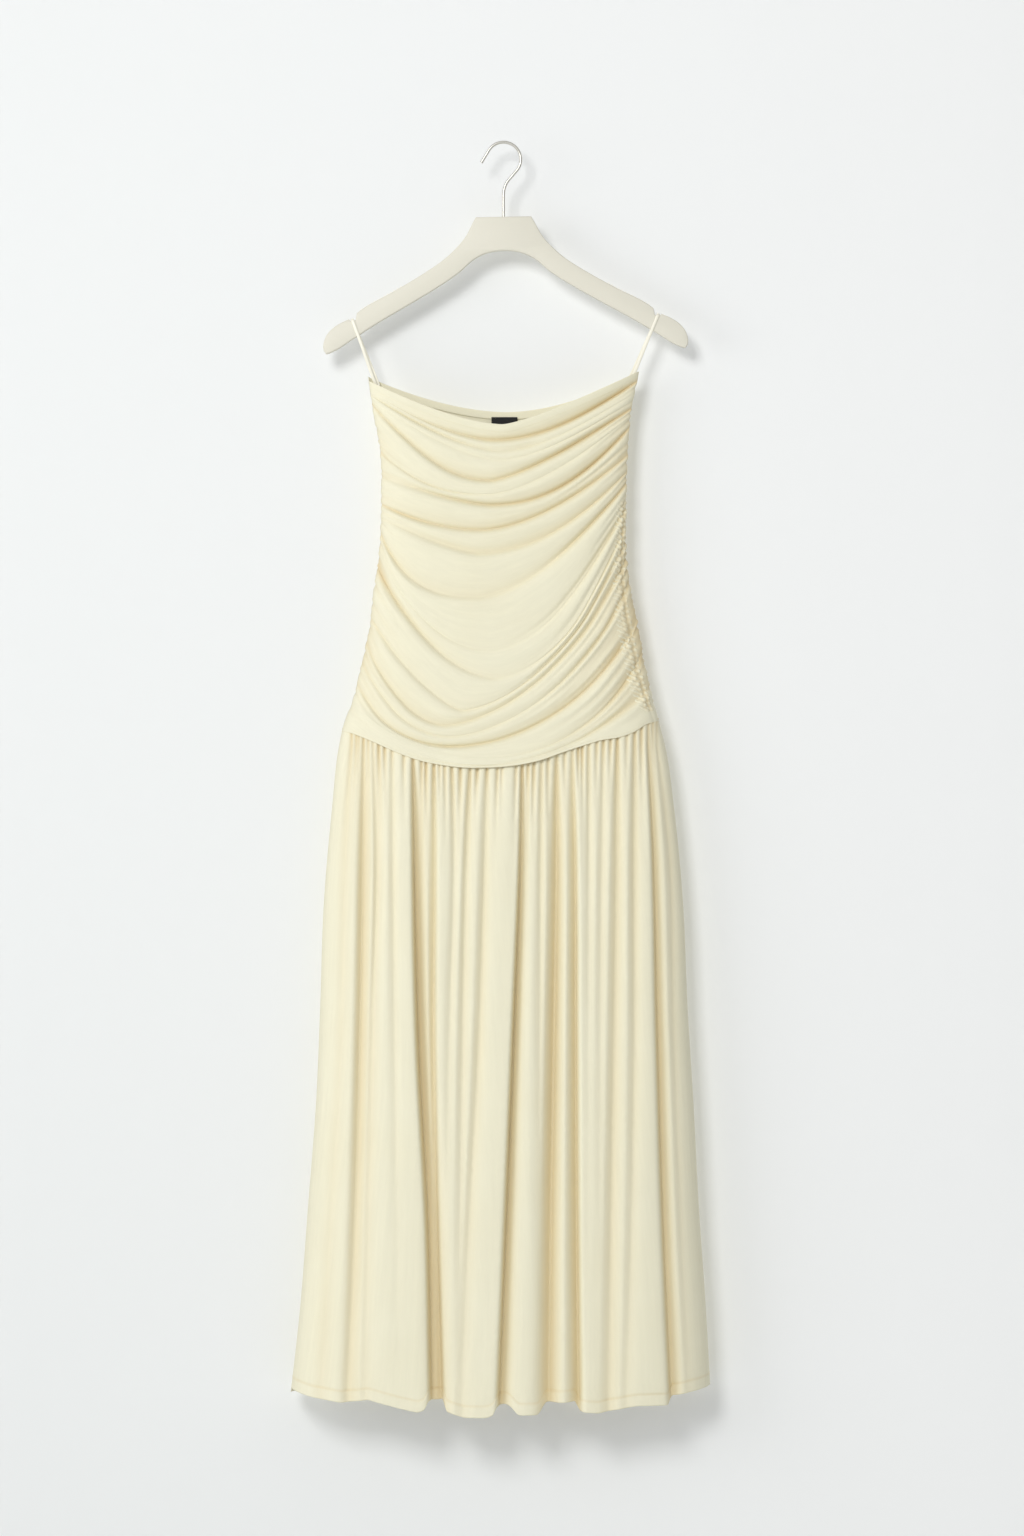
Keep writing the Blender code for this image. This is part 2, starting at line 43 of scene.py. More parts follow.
# A dropped waist dress on a board hanger. The hook's crook is the origin, the front faces -Y.
# Lengths in the tables are millimetres: drop is measured down from the top of the side seams,
# across to the right of the hook, and part runs from -1 at the left side seam to 1 at the right.

photo = {
    "mmPerPixel": 1.157,
    "width": 1024,
    "height": 1536,
    "originAcross": 503.5,
    "originDown": 143.7,
    "cameraFar": 4.5,
    "sensor": 36.0,
}

dress = {
    "sideTop": 268.8,
    "sideRounding": 5.0,
    "clothThick": 0.7,
    "skin": 0.5,
    # drop, left edge, right edge, front's depth, back's depth
    "sections": (
        (-12, -159, 158, 16, 12),
        (0, -157, 156, 17, 13),
        (43, -151, 148, 20, 15),
        (84, -144, 145, 22, 16),
        (140, -142, 143, 24, 17),
        (196, -144, 143, 26, 18),
        (251, -151, 149, 28, 20),
        (293, -156, 158, 29, 21),
        (334, -165, 165, 30, 22),
        (376, -175, 174, 31, 23),
        (400, -184, 180, 32, 23),
        (432, -191, 188, 34, 24),
        (496, -198, 197, 38, 26),
        (612, -208, 208, 44, 28),
        (728, -212, 213, 48, 30),
        (843, -217, 220, 52, 31),
        (959, -226, 226, 57, 32),
        (1075, -235, 234, 61, 33),
        (1200, -249, 241, 65, 34),
    ),
    # across, drop
    "waistSeam": (
        (-190, 410),
        (-175, 413),
        (-154, 421),
        (-120, 436),
        (-97, 444),
        (-73, 449),
        (-50, 452),
        (-21, 452.5),
        (19, 449),
        (42, 444),
        (65, 436),
        (89, 428),
        (112, 421),
        (135, 417),
        (151, 411),
        (164, 403),
        (182, 398),
    ),
}


def through(knots, values, at):
    # a smooth curve through the rows of a table, level past its ends
    knots = np.asarray(knots, float)
    values = np.asarray(values, float)
    slopes = np.gradient(values, knots)
    at = np.clip(at, knots[0], knots[-1])
    row = np.clip(np.searchsorted(knots, at, side="right") - 1, 0, len(knots) - 2)
    span = knots[row + 1] - knots[row]
    f = (at - knots[row]) / span
    start = values[row] * (2 * f**3 - 3 * f**2 + 1) + slopes[row] * span * (f**3 - 2 * f**2 + f)
    end = values[row + 1] * (3 * f**2 - 2 * f**3) + slopes[row + 1] * span * (f**3 - f**2)
    return start + end


sectionDrop, leftEdge, rightEdge, frontDepth, backDepth = np.array(dress["sections"], float).T
edgeOf = {"left": leftEdge, "right": rightEdge, "front": frontDepth, "back": backDepth}


def section(column, drop):
    return through(sectionDrop, edgeOf[column], drop)


def alongEdge(table, across):
    return through([row[0] for row in table], [row[1] for row in table], across)


def sideProfile(part):
    return np.sqrt(np.clip(1 - np.abs(part) ** dress["sideRounding"], 0, 1))


def acrossAt(part, drop):
    left = section("left", drop)
    right = section("right", drop)
    return (left + right) / 2 + part * (right - left) / 2


def partAt(across, drop):
    left = section("left", drop)
    return (across - left) / (section("right", drop) - left) * 2 - 1


def place(across, out, drop):
    # out is the distance in front of the side seams
    return np.stack([across * mm, -out * mm, -(dress["sideTop"] + drop) * mm], axis=-1)


def ease(f):
    f = np.clip(f, 0, 1)
    return f * f * (3 - 2 * f)


def finishPiece(obj, materialMade, replaced=()):
    obj.data.materials.clear()
    obj.data.materials.append(materialMade)
    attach(obj, "root")
    if replaced:
        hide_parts(*replaced)
    return obj


def newObject(name, bm):
    mesh = bpy.data.meshes.new(name)
    bm.to_mesh(mesh)
    bm.free()
    obj = bpy.data.objects.new(name, mesh)
    bpy.context.collection.objects.link(obj)
    return obj


def clothGrid(name, points, paintedShade=None, facesBack=False):
    # a grid made by Blender, its corners moved to the rows of points
    rows, columns = points.shape[:2]
    bm = bmesh.new()
    bm.loops.layers.uv.new("UVMap")
    # each corner also keeps how much painted shade the material mixes in there
    paintedShadeLayer = bm.verts.layers.float.new("paintedShade")
    bmesh.ops.create_grid(bm, x_segments=columns - 1, y_segments=rows - 1, size=0.5, calc_uvs=True)
    spots = np.array([vert.co[:] for vert in bm.verts])
    column = np.rint((spots[:, 0] + 0.5) * (columns - 1)).astype(int)
    row = np.rint((0.5 - spots[:, 1]) * (rows - 1)).astype(int)
    paintedShade = np.zeros((rows, columns)) if paintedShade is None else paintedShade
    for vert, co, deep in zip(bm.verts, points[row, column], paintedShade[row, column]):
        vert.co = co
        vert[paintedShadeLayer] = deep
    if facesBack:
        bmesh.ops.reverse_faces(bm, faces=bm.faces[:])
    obj = newObject(name, bm)
    obj.data.shade_smooth()
    return obj


def addThickness(obj, thick, offset=-1.0):
    solid = obj.modifiers.new("cloth wall", "SOLIDIFY")
    solid.thickness = thick * mm
    solid.offset = offset
    solid.use_even_offset = False
    return obj


# Materials


def newMaterial(name, colour, roughness, **sockets):
    made = bpy.data.materials.new(name)
    made.use_nodes = True
    shader = made.node_tree.nodes["Principled BSDF"]
    shader.inputs["Base Color"].default_value = (*colour, 1.0)
    shader.inputs["Roughness"].default_value = roughness
    for socket, value in sockets.items():
        shader.inputs[socket.replace("_", " ")].default_value = value
    return made


def addNode(made, kind, **values):
    node = made.node_tree.nodes.new(kind)
    for key, value in values.items():
        if key in node.inputs:
            node.inputs[key].default_value = value
        else:
            setattr(node, key, value)
    return node


def link(made, start, end):
    made.node_tree.links.new(start, end)


jersey = {
    "crest": (0.85, 0.82, 0.64),
    "cloudy": (0.83, 0.79, 0.595),
    # painted shade colour for folds, creases and grooves, darker and warmer than the cloth
    "paintedShade": (0.74, 0.60, 0.345),
    "streak": 0.03,
    "roughness": 0.8,
    "sheen": 0.1,
    "sheenTint": (1.0, 0.97, 0.88, 1.0),
    "wales": 900.0,
    "knitHeight": 0.00005,
    "fuzzHeight": 0.0001,
    "streakHeight": 0.00018,
}


def makeJersey(name, streaks, pale=1.0):
    # streaks tells how many faint streaks the yarn makes across and down the piece
    # pale above 1 makes a lighter copy of the jersey, which is painted light
    crest = [min(0.95, part * pale) for part in jersey["crest"]]
    cloud = [min(0.95, part * pale) for part in jersey["cloudy"]]
    made = newMaterial(
        name,
        crest,
        jersey["roughness"],
        Sheen_Weight=jersey["sheen"],
        Sheen_Roughness=0.45,
        Sheen_Tint=jersey["sheenTint"],
        Specular_IOR_Level=0.3,
    )
    shader = made.node_tree.nodes["Principled BSDF"]
    spot = addNode(made, "ShaderNodeTexCoord")
    cloudy = addNode(made, "ShaderNodeTexNoise", Scale=16.0, Detail=3.0, Roughness=0.55)
    link(made, spot.outputs["Object"], cloudy.inputs["Vector"])
    tint = addNode(made, "ShaderNodeMixRGB")
    tint.inputs["Color1"].default_value = (*crest, 1.0)
    tint.inputs["Color2"].default_value = (*cloud, 1.0)
    link(made, cloudy.outputs["Fac"], tint.inputs["Fac"])
    # painted shade: an attribute on the cloth mixes a darker, warmer colour into folds, creases and seam
    # grooves, standing in for their shade and the warm light that bounces between folds
    deep = addNode(made, "ShaderNodeAttribute", attribute_name="paintedShade")
    paintedShadeMix = addNode(made, "ShaderNodeMixRGB")
    paintedShadeMix.inputs["Color2"].default_value = (*jersey["paintedShade"], 1.0)
    link(made, deep.outputs["Fac"], paintedShadeMix.inputs["Fac"])
    link(made, tint.outputs["Color"], paintedShadeMix.inputs["Color1"])
    stretched = addNode(made, "ShaderNodeMapping")
    stretched.inputs["Scale"].default_value = (*streaks, 1.0)
    link(made, spot.outputs["UV"], stretched.inputs["Vector"])
    streaky = addNode(made, "ShaderNodeTexNoise", Scale=1.0, Detail=3.0, Roughness=0.65)
    link(made, stretched.outputs["Vector"], streaky.inputs["Vector"])
    shaded = addNode(made, "ShaderNodeMapRange")
    shaded.inputs["From Min"].default_value = 0.3
    shaded.inputs["From Max"].default_value = 0.7
    shaded.inputs["To Min"].default_value = 1 - jersey["streak"]
    shaded.inputs["To Max"].default_value = 1 + jersey["streak"] * 0.4
    link(made, streaky.outputs["Fac"], shaded.inputs["Value"])
    mottled = addNode(made, "ShaderNodeMixRGB", blend_type="MULTIPLY")
    mottled.inputs["Fac"].default_value = 1.0
    link(made, paintedShadeMix.outputs["Color"], mottled.inputs["Color1"])
    link(made, shaded.outputs["Result"], mottled.inputs["Color2"])
    link(made, mottled.outputs["Color"], shader.inputs["Base Color"])
    # the jersey's fine wales run down the cloth, with streaks and a little fuzz over them
    wales = addNode(made, "ShaderNodeTexWave", Scale=jersey["wales"] / 3.2, Distortion=1.0)
    wales.bands_direction = "X"
    link(made, spot.outputs["UV"], wales.inputs["Vector"])
    fuzz = addNode(made, "ShaderNodeTexNoise", Scale=900.0, Detail=3.0, Roughness=0.6)
    link(made, spot.outputs["Object"], fuzz.inputs["Vector"])
    knitBump = addNode(made, "ShaderNodeBump", Strength=0.3, Distance=jersey["knitHeight"])
    link(made, wales.outputs["Fac"], knitBump.inputs["Height"])
    fuzzBump = addNode(made, "ShaderNodeBump", Strength=0.5, Distance=jersey["fuzzHeight"])
    link(made, fuzz.outputs["Fac"], fuzzBump.inputs["Height"])
    link(made, knitBump.outputs["Normal"], fuzzBump.inputs["Normal"])
    streakBump = addNode(made, "ShaderNodeBump", Strength=0.5, Distance=jersey["streakHeight"])
    link(made, streaky.outputs["Fac"], streakBump.inputs["Height"])
    link(made, fuzzBump.outputs["Normal"], streakBump.inputs["Normal"])
    link(made, streakBump.outputs["Normal"], shader.inputs["Normal"])
    return made


def makeThread():
    made = newMaterial("sewing thread", (0.80, 0.74, 0.52), 0.6, Sheen_Weight=0.2)
    shader = made.node_tree.nodes["Principled BSDF"]
    spot = addNode(made, "ShaderNodeTexCoord")
    twist = addNode(made, "ShaderNodeTexNoise", Scale=2500.0, Detail=1.0)
    link(made, spot.outputs["Object"], twist.inputs["Vector"])
    bump = addNode(made, "ShaderNodeBump", Strength=0.5, Distance=0.0001)
    link(made, twist.outputs["Fac"], bump.inputs["Height"])
    link(made, bump.outputs["Normal"], shader.inputs["Normal"])
    return made


def makeRibbon():
    made = newMaterial("satin ribbon", (0.90, 0.87, 0.74), 0.38, Sheen_Weight=0.15, Specular_IOR_Level=0.55)
    shader = made.node_tree.nodes["Principled BSDF"]
    spot = addNode(made, "ShaderNodeTexCoord")
    ribs = addNode(made, "ShaderNodeTexWave", Scale=60.0, Distortion=0.4)
    ribs.bands_direction = "Z"
    link(made, spot.outputs["Object"], ribs.inputs["Vector"])
    bump = addNode(made, "ShaderNodeBump", Strength=0.25, Distance=0.0001)
    link(made, ribs.outputs["Fac"], bump.inputs["Height"])
    link(made, bump.outputs["Normal"], shader.inputs["Normal"])
    return made


def makeLabelCloth():
    made = newMaterial("label weave", (0.005, 0.005, 0.006), 0.75, Sheen_Weight=0.03)
    shader = made.node_tree.nodes["Principled BSDF"]
    spot = addNode(made, "ShaderNodeTexCoord")
    weave = addNode(made, "ShaderNodeTexWave", Scale=300.0, Distortion=0.2)
    weave.bands_direction = "DIAGONAL"
    link(made, spot.outputs["Object"], weave.inputs["Vector"])
    bump = addNode(made, "ShaderNodeBump", Strength=0.4, Distance=0.0001)
    link(made, weave.outputs["Fac"], bump.inputs["Height"])
    link(made, bump.outputs["Normal"], shader.inputs["Normal"])
    return made


def makeBoardFinish(name, colour):
    made = newMaterial(name, colour, 0.52, Specular_IOR_Level=0.4)
    shader = made.node_tree.nodes["Principled BSDF"]
    spot = addNode(made, "ShaderNodeTexCoord")
    grain = addNode(made, "ShaderNodeTexNoise", Scale=450.0, Detail=2.0)
    link(made, spot.outputs["Object"], grain.inputs["Vector"])
    rough = addNode(made, "ShaderNodeMapRange")
    rough.inputs["To Min"].default_value = 0.46
    rough.inputs["To Max"].default_value = 0.6
    link(made, grain.outputs["Fac"], rough.inputs["Value"])
    link(made, rough.outputs["Result"], shader.inputs["Roughness"])
    bump = addNode(made, "ShaderNodeBump", Strength=0.25, Distance=0.00008)
    link(made, grain.outputs["Fac"], bump.inputs["Height"])
    link(made, bump.outputs["Normal"], shader.inputs["Normal"])
    return made


def makeWireFinish():
    made = newMaterial("wire finish", (0.60, 0.585, 0.53), 0.34, Metallic=0.85)
    shader = made.node_tree.nodes["Principled BSDF"]
    spot = addNode(made, "ShaderNodeTexCoord")
    drawn = addNode(made, "ShaderNodeTexNoise", Scale=700.0, Detail=2.0)
    link(made, spot.outputs["Object"], drawn.inputs["Vector"])
    rough = addNode(made, "ShaderNodeMapRange")
    rough.inputs["To Min"].default_value = 0.24
    rough.inputs["To Max"].default_value = 0.38
    link(made, drawn.outputs["Fac"], rough.inputs["Value"])
    link(made, rough.outputs["Result"], shader.inputs["Roughness"])
    return made


finishes = {
    "bodice jersey": makeJersey("bodice jersey", (10.0, 120.0)),
    "skirt jersey": makeJersey("skirt jersey", (150.0, 8.0)),
    # painted light: the neck facing gets a lighter copy of the jersey, for light passing through the cloth
    # onto the inside of the back
    "facing jersey painted lighter": makeJersey("facing jersey painted lighter", (10.0, 20.0), pale=1.1),
    "thread": makeThread(),
    "ribbon": makeRibbon(),
    "label": makeLabelCloth(),
    "board": makeBoardFinish("board finish", (0.735, 0.71, 0.605)),
    "teeth": makeBoardFinish("soft teeth", (0.88, 0.87, 0.82)),
    "wire": makeWireFinish(),
}
print("materials made")

# Bodice. Each drape's valley: left drop, sag part, sag drop, right drop, left bend, right bend,
# then the roll's depth above it and the crease cut into it, each at the left, the sag and the right.

bodice = {
    "columns": 160,
    "rowStep": 1.95,
    "seamProud": 0.5,
    "rollProud": 3.0,
    "rollDeep": 1.3,
    "cutDeep": 1.5,
    "gatherLong": 1.8,
    "gatherDeep": 2.3,
    "tuckRows": 6,
    "tuckRadius": 1.1,
    "puckers": 52,
    "leftGatherDeep": 2.2,
    "rollFrom": -0.42,
    "rollTo": 0.5,
    "frontNeck": (6, 0.0, 57.5, -5, 1.62, 1.35, (0, 0, 0), (0, 0, 0)),
    "frontDrapes": (
        (17, -0.07, 75, 6, 1.75, 1.95, (1, 6, 9), (0, 1, 2)),
        (22, -0.03, 88, 20, 1.65, 1.7, (4, 3, 2), (1, 0, 0)),
        (27, -0.03, 98, 29, 1.7, 1.6, (1, 2, 2), (0, 0, 0)),
        (33, -0.11, 122, 38, 2.1, 1.38, (4, 6, 8), (1, 1, 1)),
        (88, -0.14, 138, 47, 2.4, 1.6, (3, 2, 3), (1, 0, 0)),
        (115, -0.11, 150, 59, 1.5, 2.2, (3, 6, 8), (0, 1, 2)),
        (148, -0.19, 179, 91, 1.9, 1.75, (4, 6, 7), (1, 1, 1)),
        (164, -0.19, 206, 110, 1.4, 1.95, (3, 5, 6), (0, 0, 1)),
        (182, -0.18, 257, 125, 2.8, 1.6, (4, 4, 6), (1, 0, 1)),
        (200, -0.10, 318, 152, 2.0, 1.7, (1, 2, 4), (0, 0, 0)),
        (221, -0.06, 350, 172, 1.7, 1.75, (5, 3, 3), (2, 0, 0)),
        (279, -0.26, 387, 192, 1.35, 1.6, (3, 3, 3), (1, 0, 1)),
        (308, -0.35, 404, 212, 1.75, 1.6, (5, 5, 5), (1, 0, 1)),
        (330, -0.33, 417, 236, 1.8, 1.75, (3, 3, 4), (1, 0, 1)),
        (355, -0.32, 429, 282, 2.1, 1.95, (5, 5, 6), (1, 1, 3)),
        (374, -0.10, 441, 317, 2.0, 2.1, (1, 1, 6), (0, 0, 1)),
        (392, -0.11, 450.5, 357, 2.0, 1.8, (0, 0, 5), (0, 0, 2)),
    ),
    "backNeck": (1, 0.03, 40.5, -5, 1.8, 1.9, (0, 0, 0), (0, 0, 0)),
    "backDrapes": (
        (24, 0.08, 72, 20, 1.8, 1.8, (3, 3, 3), (0, 0, 0)),
        (36, 0.04, 88, 27, 1.7, 1.7, (2, 2, 2), (0, 0, 0)),
        (50, 0.12, 104, 34, 1.8, 1.9, (5, 5, 5), (1, 1, 1)),
        (76, 0.05, 141, 66, 2.0, 1.8, (6, 4, 5), (1, 0, 1)),
        (90, -0.05, 156, 82, 1.9, 1.9, (3, 2, 2), (0, 0, 0)),
        (109, 0.09, 172, 98, 1.9, 2.0, (5, 6, 6), (1, 1, 2)),
        (140, 0.14, 214, 133, 1.8, 2.0, (6, 5, 5), (2, 0, 1)),
        (156, 0.0, 238, 150, 1.7, 1.9, (3, 2, 3), (1, 0, 0)),
        (172, 0.10, 262, 171, 1.9, 1.8, (5, 6, 7), (1, 1, 2)),
        (214, 0.15, 315, 214, 1.9, 1.9, (6, 5, 5), (2, 0, 1)),
        (236, 0.05, 345, 236, 1.8, 1.8, (3, 3, 3), (0, 0, 1)),
        (258, 0.18, 372, 258, 1.8, 1.9, (6, 6, 6), (1, 1, 1)),
        (303, 0.15, 410, 299, 1.8, 1.8, (5, 4, 5), (1, 0, 1)),
        (349, 0.12, 432, 340, 1.9, 1.9, (4, 4, 4), (1, 0, 1)),
    ),
    # short creases that fan out of each side seam: drop at the seam, length, depth
    "rightGathers": (
        (14, 30, 1.6), (43, 34, 2.2), (51, 30, 1.8), (77, 52, 2.0), (100, 22, 1.4),
        (118, 20, 1.4), (136, 18, 1.5), (143, 24, 2.0), (152, 16, 1.4), (172, 22, 1.6),
        (184, 18, 1.5), (202, 26, 1.9), (212, 18, 1.5), (228, 30, 1.6), (240, 18, 1.6),
        (257, 52, 2.6), (268, 20, 1.8), (280, 24, 2.2), (291, 20, 1.8), (296, 26, 2.2),
        (305, 18, 1.8), (318, 28, 2.4), (326, 16, 1.6), (333, 26, 2.2), (346, 22, 2.0),
        (361, 34, 2.6), (372, 18, 1.6), (380, 30, 2.4),
        (124, 55, 1.5), (150, 80, 1.6), (166, 60, 1.5), (190, 85, 2.0), (208, 55, 1.8),
        (222, 75, 2.0), (236, 62, 1.8), (250, 80, 2.2), (263, 55, 1.8), (275, 70, 2.1),
        (288, 52, 1.8), (300, 72, 2.2), (312, 46, 1.8), (324, 56, 2.0), (338, 62, 2.0),
        (352, 46, 1.8),
    ),
    "leftGathers": (
        (46, 26, 1.0), (60, 18, 1.0), (72, 22, 1.4), (80, 26, 1.5), (96, 18, 1.0),
        (110, 26, 1.3), (118, 30, 1.0), (129, 20, 1.0), (138, 18, 1.0), (149, 42, 1.6),
        (157, 26, 1.4), (170, 20, 1.2), (184, 30, 1.4), (196, 20, 1.0), (216, 26, 1.8),
        (228, 20, 1.3), (242, 22, 1.4), (262, 20, 1.4), (281, 22, 1.4), (296, 18, 1.2),
        (318, 26, 1.6), (342, 20, 1.4), (366, 30, 1.6), (384, 20, 1.2),
    ),
    "streaks": 130,
}


def drapeDrop(drape, part):
    left, sagPart, sag, right, leftBend, rightBend = drape[:6]
    leftRise = np.clip((sagPart - part) / (sagPart + 1), 0, 1) ** leftBend
    rightRise = np.clip((part - sagPart) / (1 - sagPart), 0, 1) ** rightBend
    return sag - (sag - left) * leftRise - (sag - right) * rightRise


def seamDropAt(part):
    drop = np.full_like(part, 420.0)
    for _ in range(6):
        drop = alongEdge(dress["waistSeam"], acrossAt(part, drop))
    return drop


def bodiceRows(drops):
    # more rows in a wide drape, and more close to each valley
    phases = []
    for k in range(len(drops) - 1):
        count = int(4 + np.mean(drops[k + 1] - drops[k]) / bodice["rowStep"])
        steps = np.arange(count) / count
        phases += list(k + 0.55 * steps + 0.45 * (0.5 - 0.5 * np.cos(math.pi * steps)))
    return np.array(phases + [len(drops) - 1.0])


def puckerRows(seed):
    # tiny puckers that the side seam's stitches pull into the cloth
    rng = random.Random(seed)
    return tuple(
        (rng.uniform(20, 395), rng.uniform(4, 11), rng.uniform(0.5, 1.1)) for _ in range(bodice["puckers"])
    )


def seamAway(drop):
    # low down, the right side seam turns to the front
    return through([90, 170, 250, 330, 420], [0, 4, 7.5, 8, 5], drop)


def rightSeam(across, drop):
    inside = across[:, -1:] - across
    shows = ease((drop - 120) / 60)
    return 2.6 * np.exp(-(((inside - seamAway(drop)) / 1.6) ** 2)) * shows


def bodiceShape(neck, drapes, gathers, seed, isFront):
    columns = bodice["columns"]
    turn = np.linspace(-1, 1, columns)
    part = 0.75 * turn + 0.25 * np.sin(turn * math.pi / 2)
    part = np.sign(part) * (1 - (1 - np.abs(part)) ** 1.25)
    drops = [drapeDrop(drape, part) for drape in (neck,) + drapes]
    drops.append(seamDropAt(part))
    for k in range(len(drops) - 2, -1, -1):
        drops[k] = np.minimum(drops[k], drops[k + 1] - 1.2)
    drops = np.array(drops)
    knots = [(-1, drape[1], 1) for drape in (neck,) + drapes]
    rolls = [through(knot, drape[6], part) for knot, drape in zip(knots, (neck,) + drapes)]
    cuts = [through(knot, drape[7], part) for knot, drape in zip(knots, (neck,) + drapes)]
    rolls = np.array(rolls + [np.zeros(columns)])
    cuts = np.array(cuts + [np.zeros(columns)])
    phases = bodiceRows(drops)
    line = np.minimum(phases.astype(int), len(drops) - 2)
    f = (phases - line)[:, None]
    gap = drops[line + 1] - drops[line]
    drop = drops[line] + gap * f
    across = acrossAt(part[None, :], drop)
    slope = np.abs(np.gradient(drop, axis=1) / np.gradient(across, axis=1))
    square = 1 / np.sqrt(1 + slope**2)
    under = gap * square
    narrow = np.minimum(3.6, 0.28 * under)
    wide = 0.42 * under + 1.5
    above = rolls[line] * np.exp(-((f * under / narrow) ** 1.5))
    below = rolls[line + 1] * np.exp(-(((1 - f) * under / wide) ** 1.3))
    fit = np.minimum(1, under / 7) * bodice["rollDeep"]
    fall = (above + below) * fit
    crisp = fit * bodice["cutDeep"] / bodice["rollDeep"]
    fall += cuts[line] * np.exp(-((f * under / 1.5) ** 2)) * crisp
    fall += cuts[line + 1] * np.exp(-(((1 - f) * under / 1.7) ** 2)) * crisp
    nip = np.zeros_like(fall)
    if isFront:
        fall += rightSeam(across, drop)
    for side, rows in gathers:
        edgeColumn = 0 if side < 0 else -1
        fromSide = np.abs(across - across[:, edgeColumn][:, None])
        for seamAt, length, depth in rows + puckerRows(side):
            seamDrop = drop[:, edgeColumn]
            at = np.interp(seamAt, seamDrop, phases)
            away = (phases[:, None] - at) * np.maximum(gap, 2) * square
            fade = np.clip(1 - fromSide / (length * bodice["gatherLong"]), 0, 1)
            deep = depth * (bodice["leftGatherDeep"] if side < 0 else bodice["gatherDeep"])
            crease = deep * np.exp(-((away / 2.0) ** 2)) * fade
            fall += crease
            bite = np.exp(-(((seamDrop - seamAt) / 2.4) ** 2))[:, None]
            nip += side * 0.8 * depth * bite * np.exp(-fromSide / 5)
    rng = np.random.default_rng(seed)
    for _ in range(bodice["streaks"]):
        at = rng.uniform(1, len(drops) - 1.5)
        centre = rng.uniform(-0.9, 0.9)
        reach = rng.uniform(0.08, 0.35)
        depth = rng.uniform(0.2, 0.8)
        width = rng.uniform(1.6, 4.5)
        away = (phases[:, None] - at) * np.maximum(gap, 2) * square
        fall += depth * np.exp(-((away / width) ** 2) - ((part[None, :] - centre) / reach) ** 2)
    proud = np.full_like(fall, bodice["seamProud"])
    if isFront:
        middle = ease((part - bodice["rollFrom"]) / 0.25) * ease((bodice["rollTo"] - part) / 0.25)
        near = ease(1 - (drops[-1][None, :] - drop) / 45)
        proud += bodice["rollProud"] * middle[None, :] * near
    proud *= ease(1 - (drops[-1][None, :] - drop) / 60)
    out = (section("front" if isFront else "back", drop) - fall + proud) * sideProfile(part[None, :])
    # painted shade, darker where the drapes' valleys and creases fall deeper
    paintedShade = 0.8 * np.clip(fall / 13, 0, 1) ** 1.7
    return across - nip, out + dress["skin"] * 0.3, drop, paintedShade


def tuckUnder(across, out, drop, paintedShade):
    # the lower edge rolls back under itself before it meets the seam
    turns = bodice["tuckRows"]
    radius = bodice["tuckRadius"]
    rings = []
    for k in range(1, turns + 1):
        angle = math.pi * 0.8 * k / turns
        sunk = out[-1] - radius * (1 - math.cos(angle))
        # painted shade grows darker as the edge turns under itself
        paintedShadeUnder = np.minimum(1, paintedShade[-1] + 0.9 * k / turns)
        rings.append((across[-1], sunk, drop[-1] + radius * math.sin(angle) * 0.8, paintedShadeUnder))
    grids = (across, out, drop, paintedShade)
    return [np.vstack([whole] + list(added)) for whole, added in zip(grids, zip(*rings))]


def clothNormals(points):
    # rows run down and columns to the right, so these point to the front
    normals = np.cross(np.gradient(points, axis=0), np.gradient(points, axis=1))
    return normals / np.linalg.norm(normals, axis=2, keepdims=True)


seamStrip = {
    "from": 128.0,
    "to": 396.0,
    "step": 0.8,
    "reach": (12.0, -5.5),
    "columns": 23,
    "pitch": 6.4,
    "puffs": 1.7,
    "fan": 1.1,
}


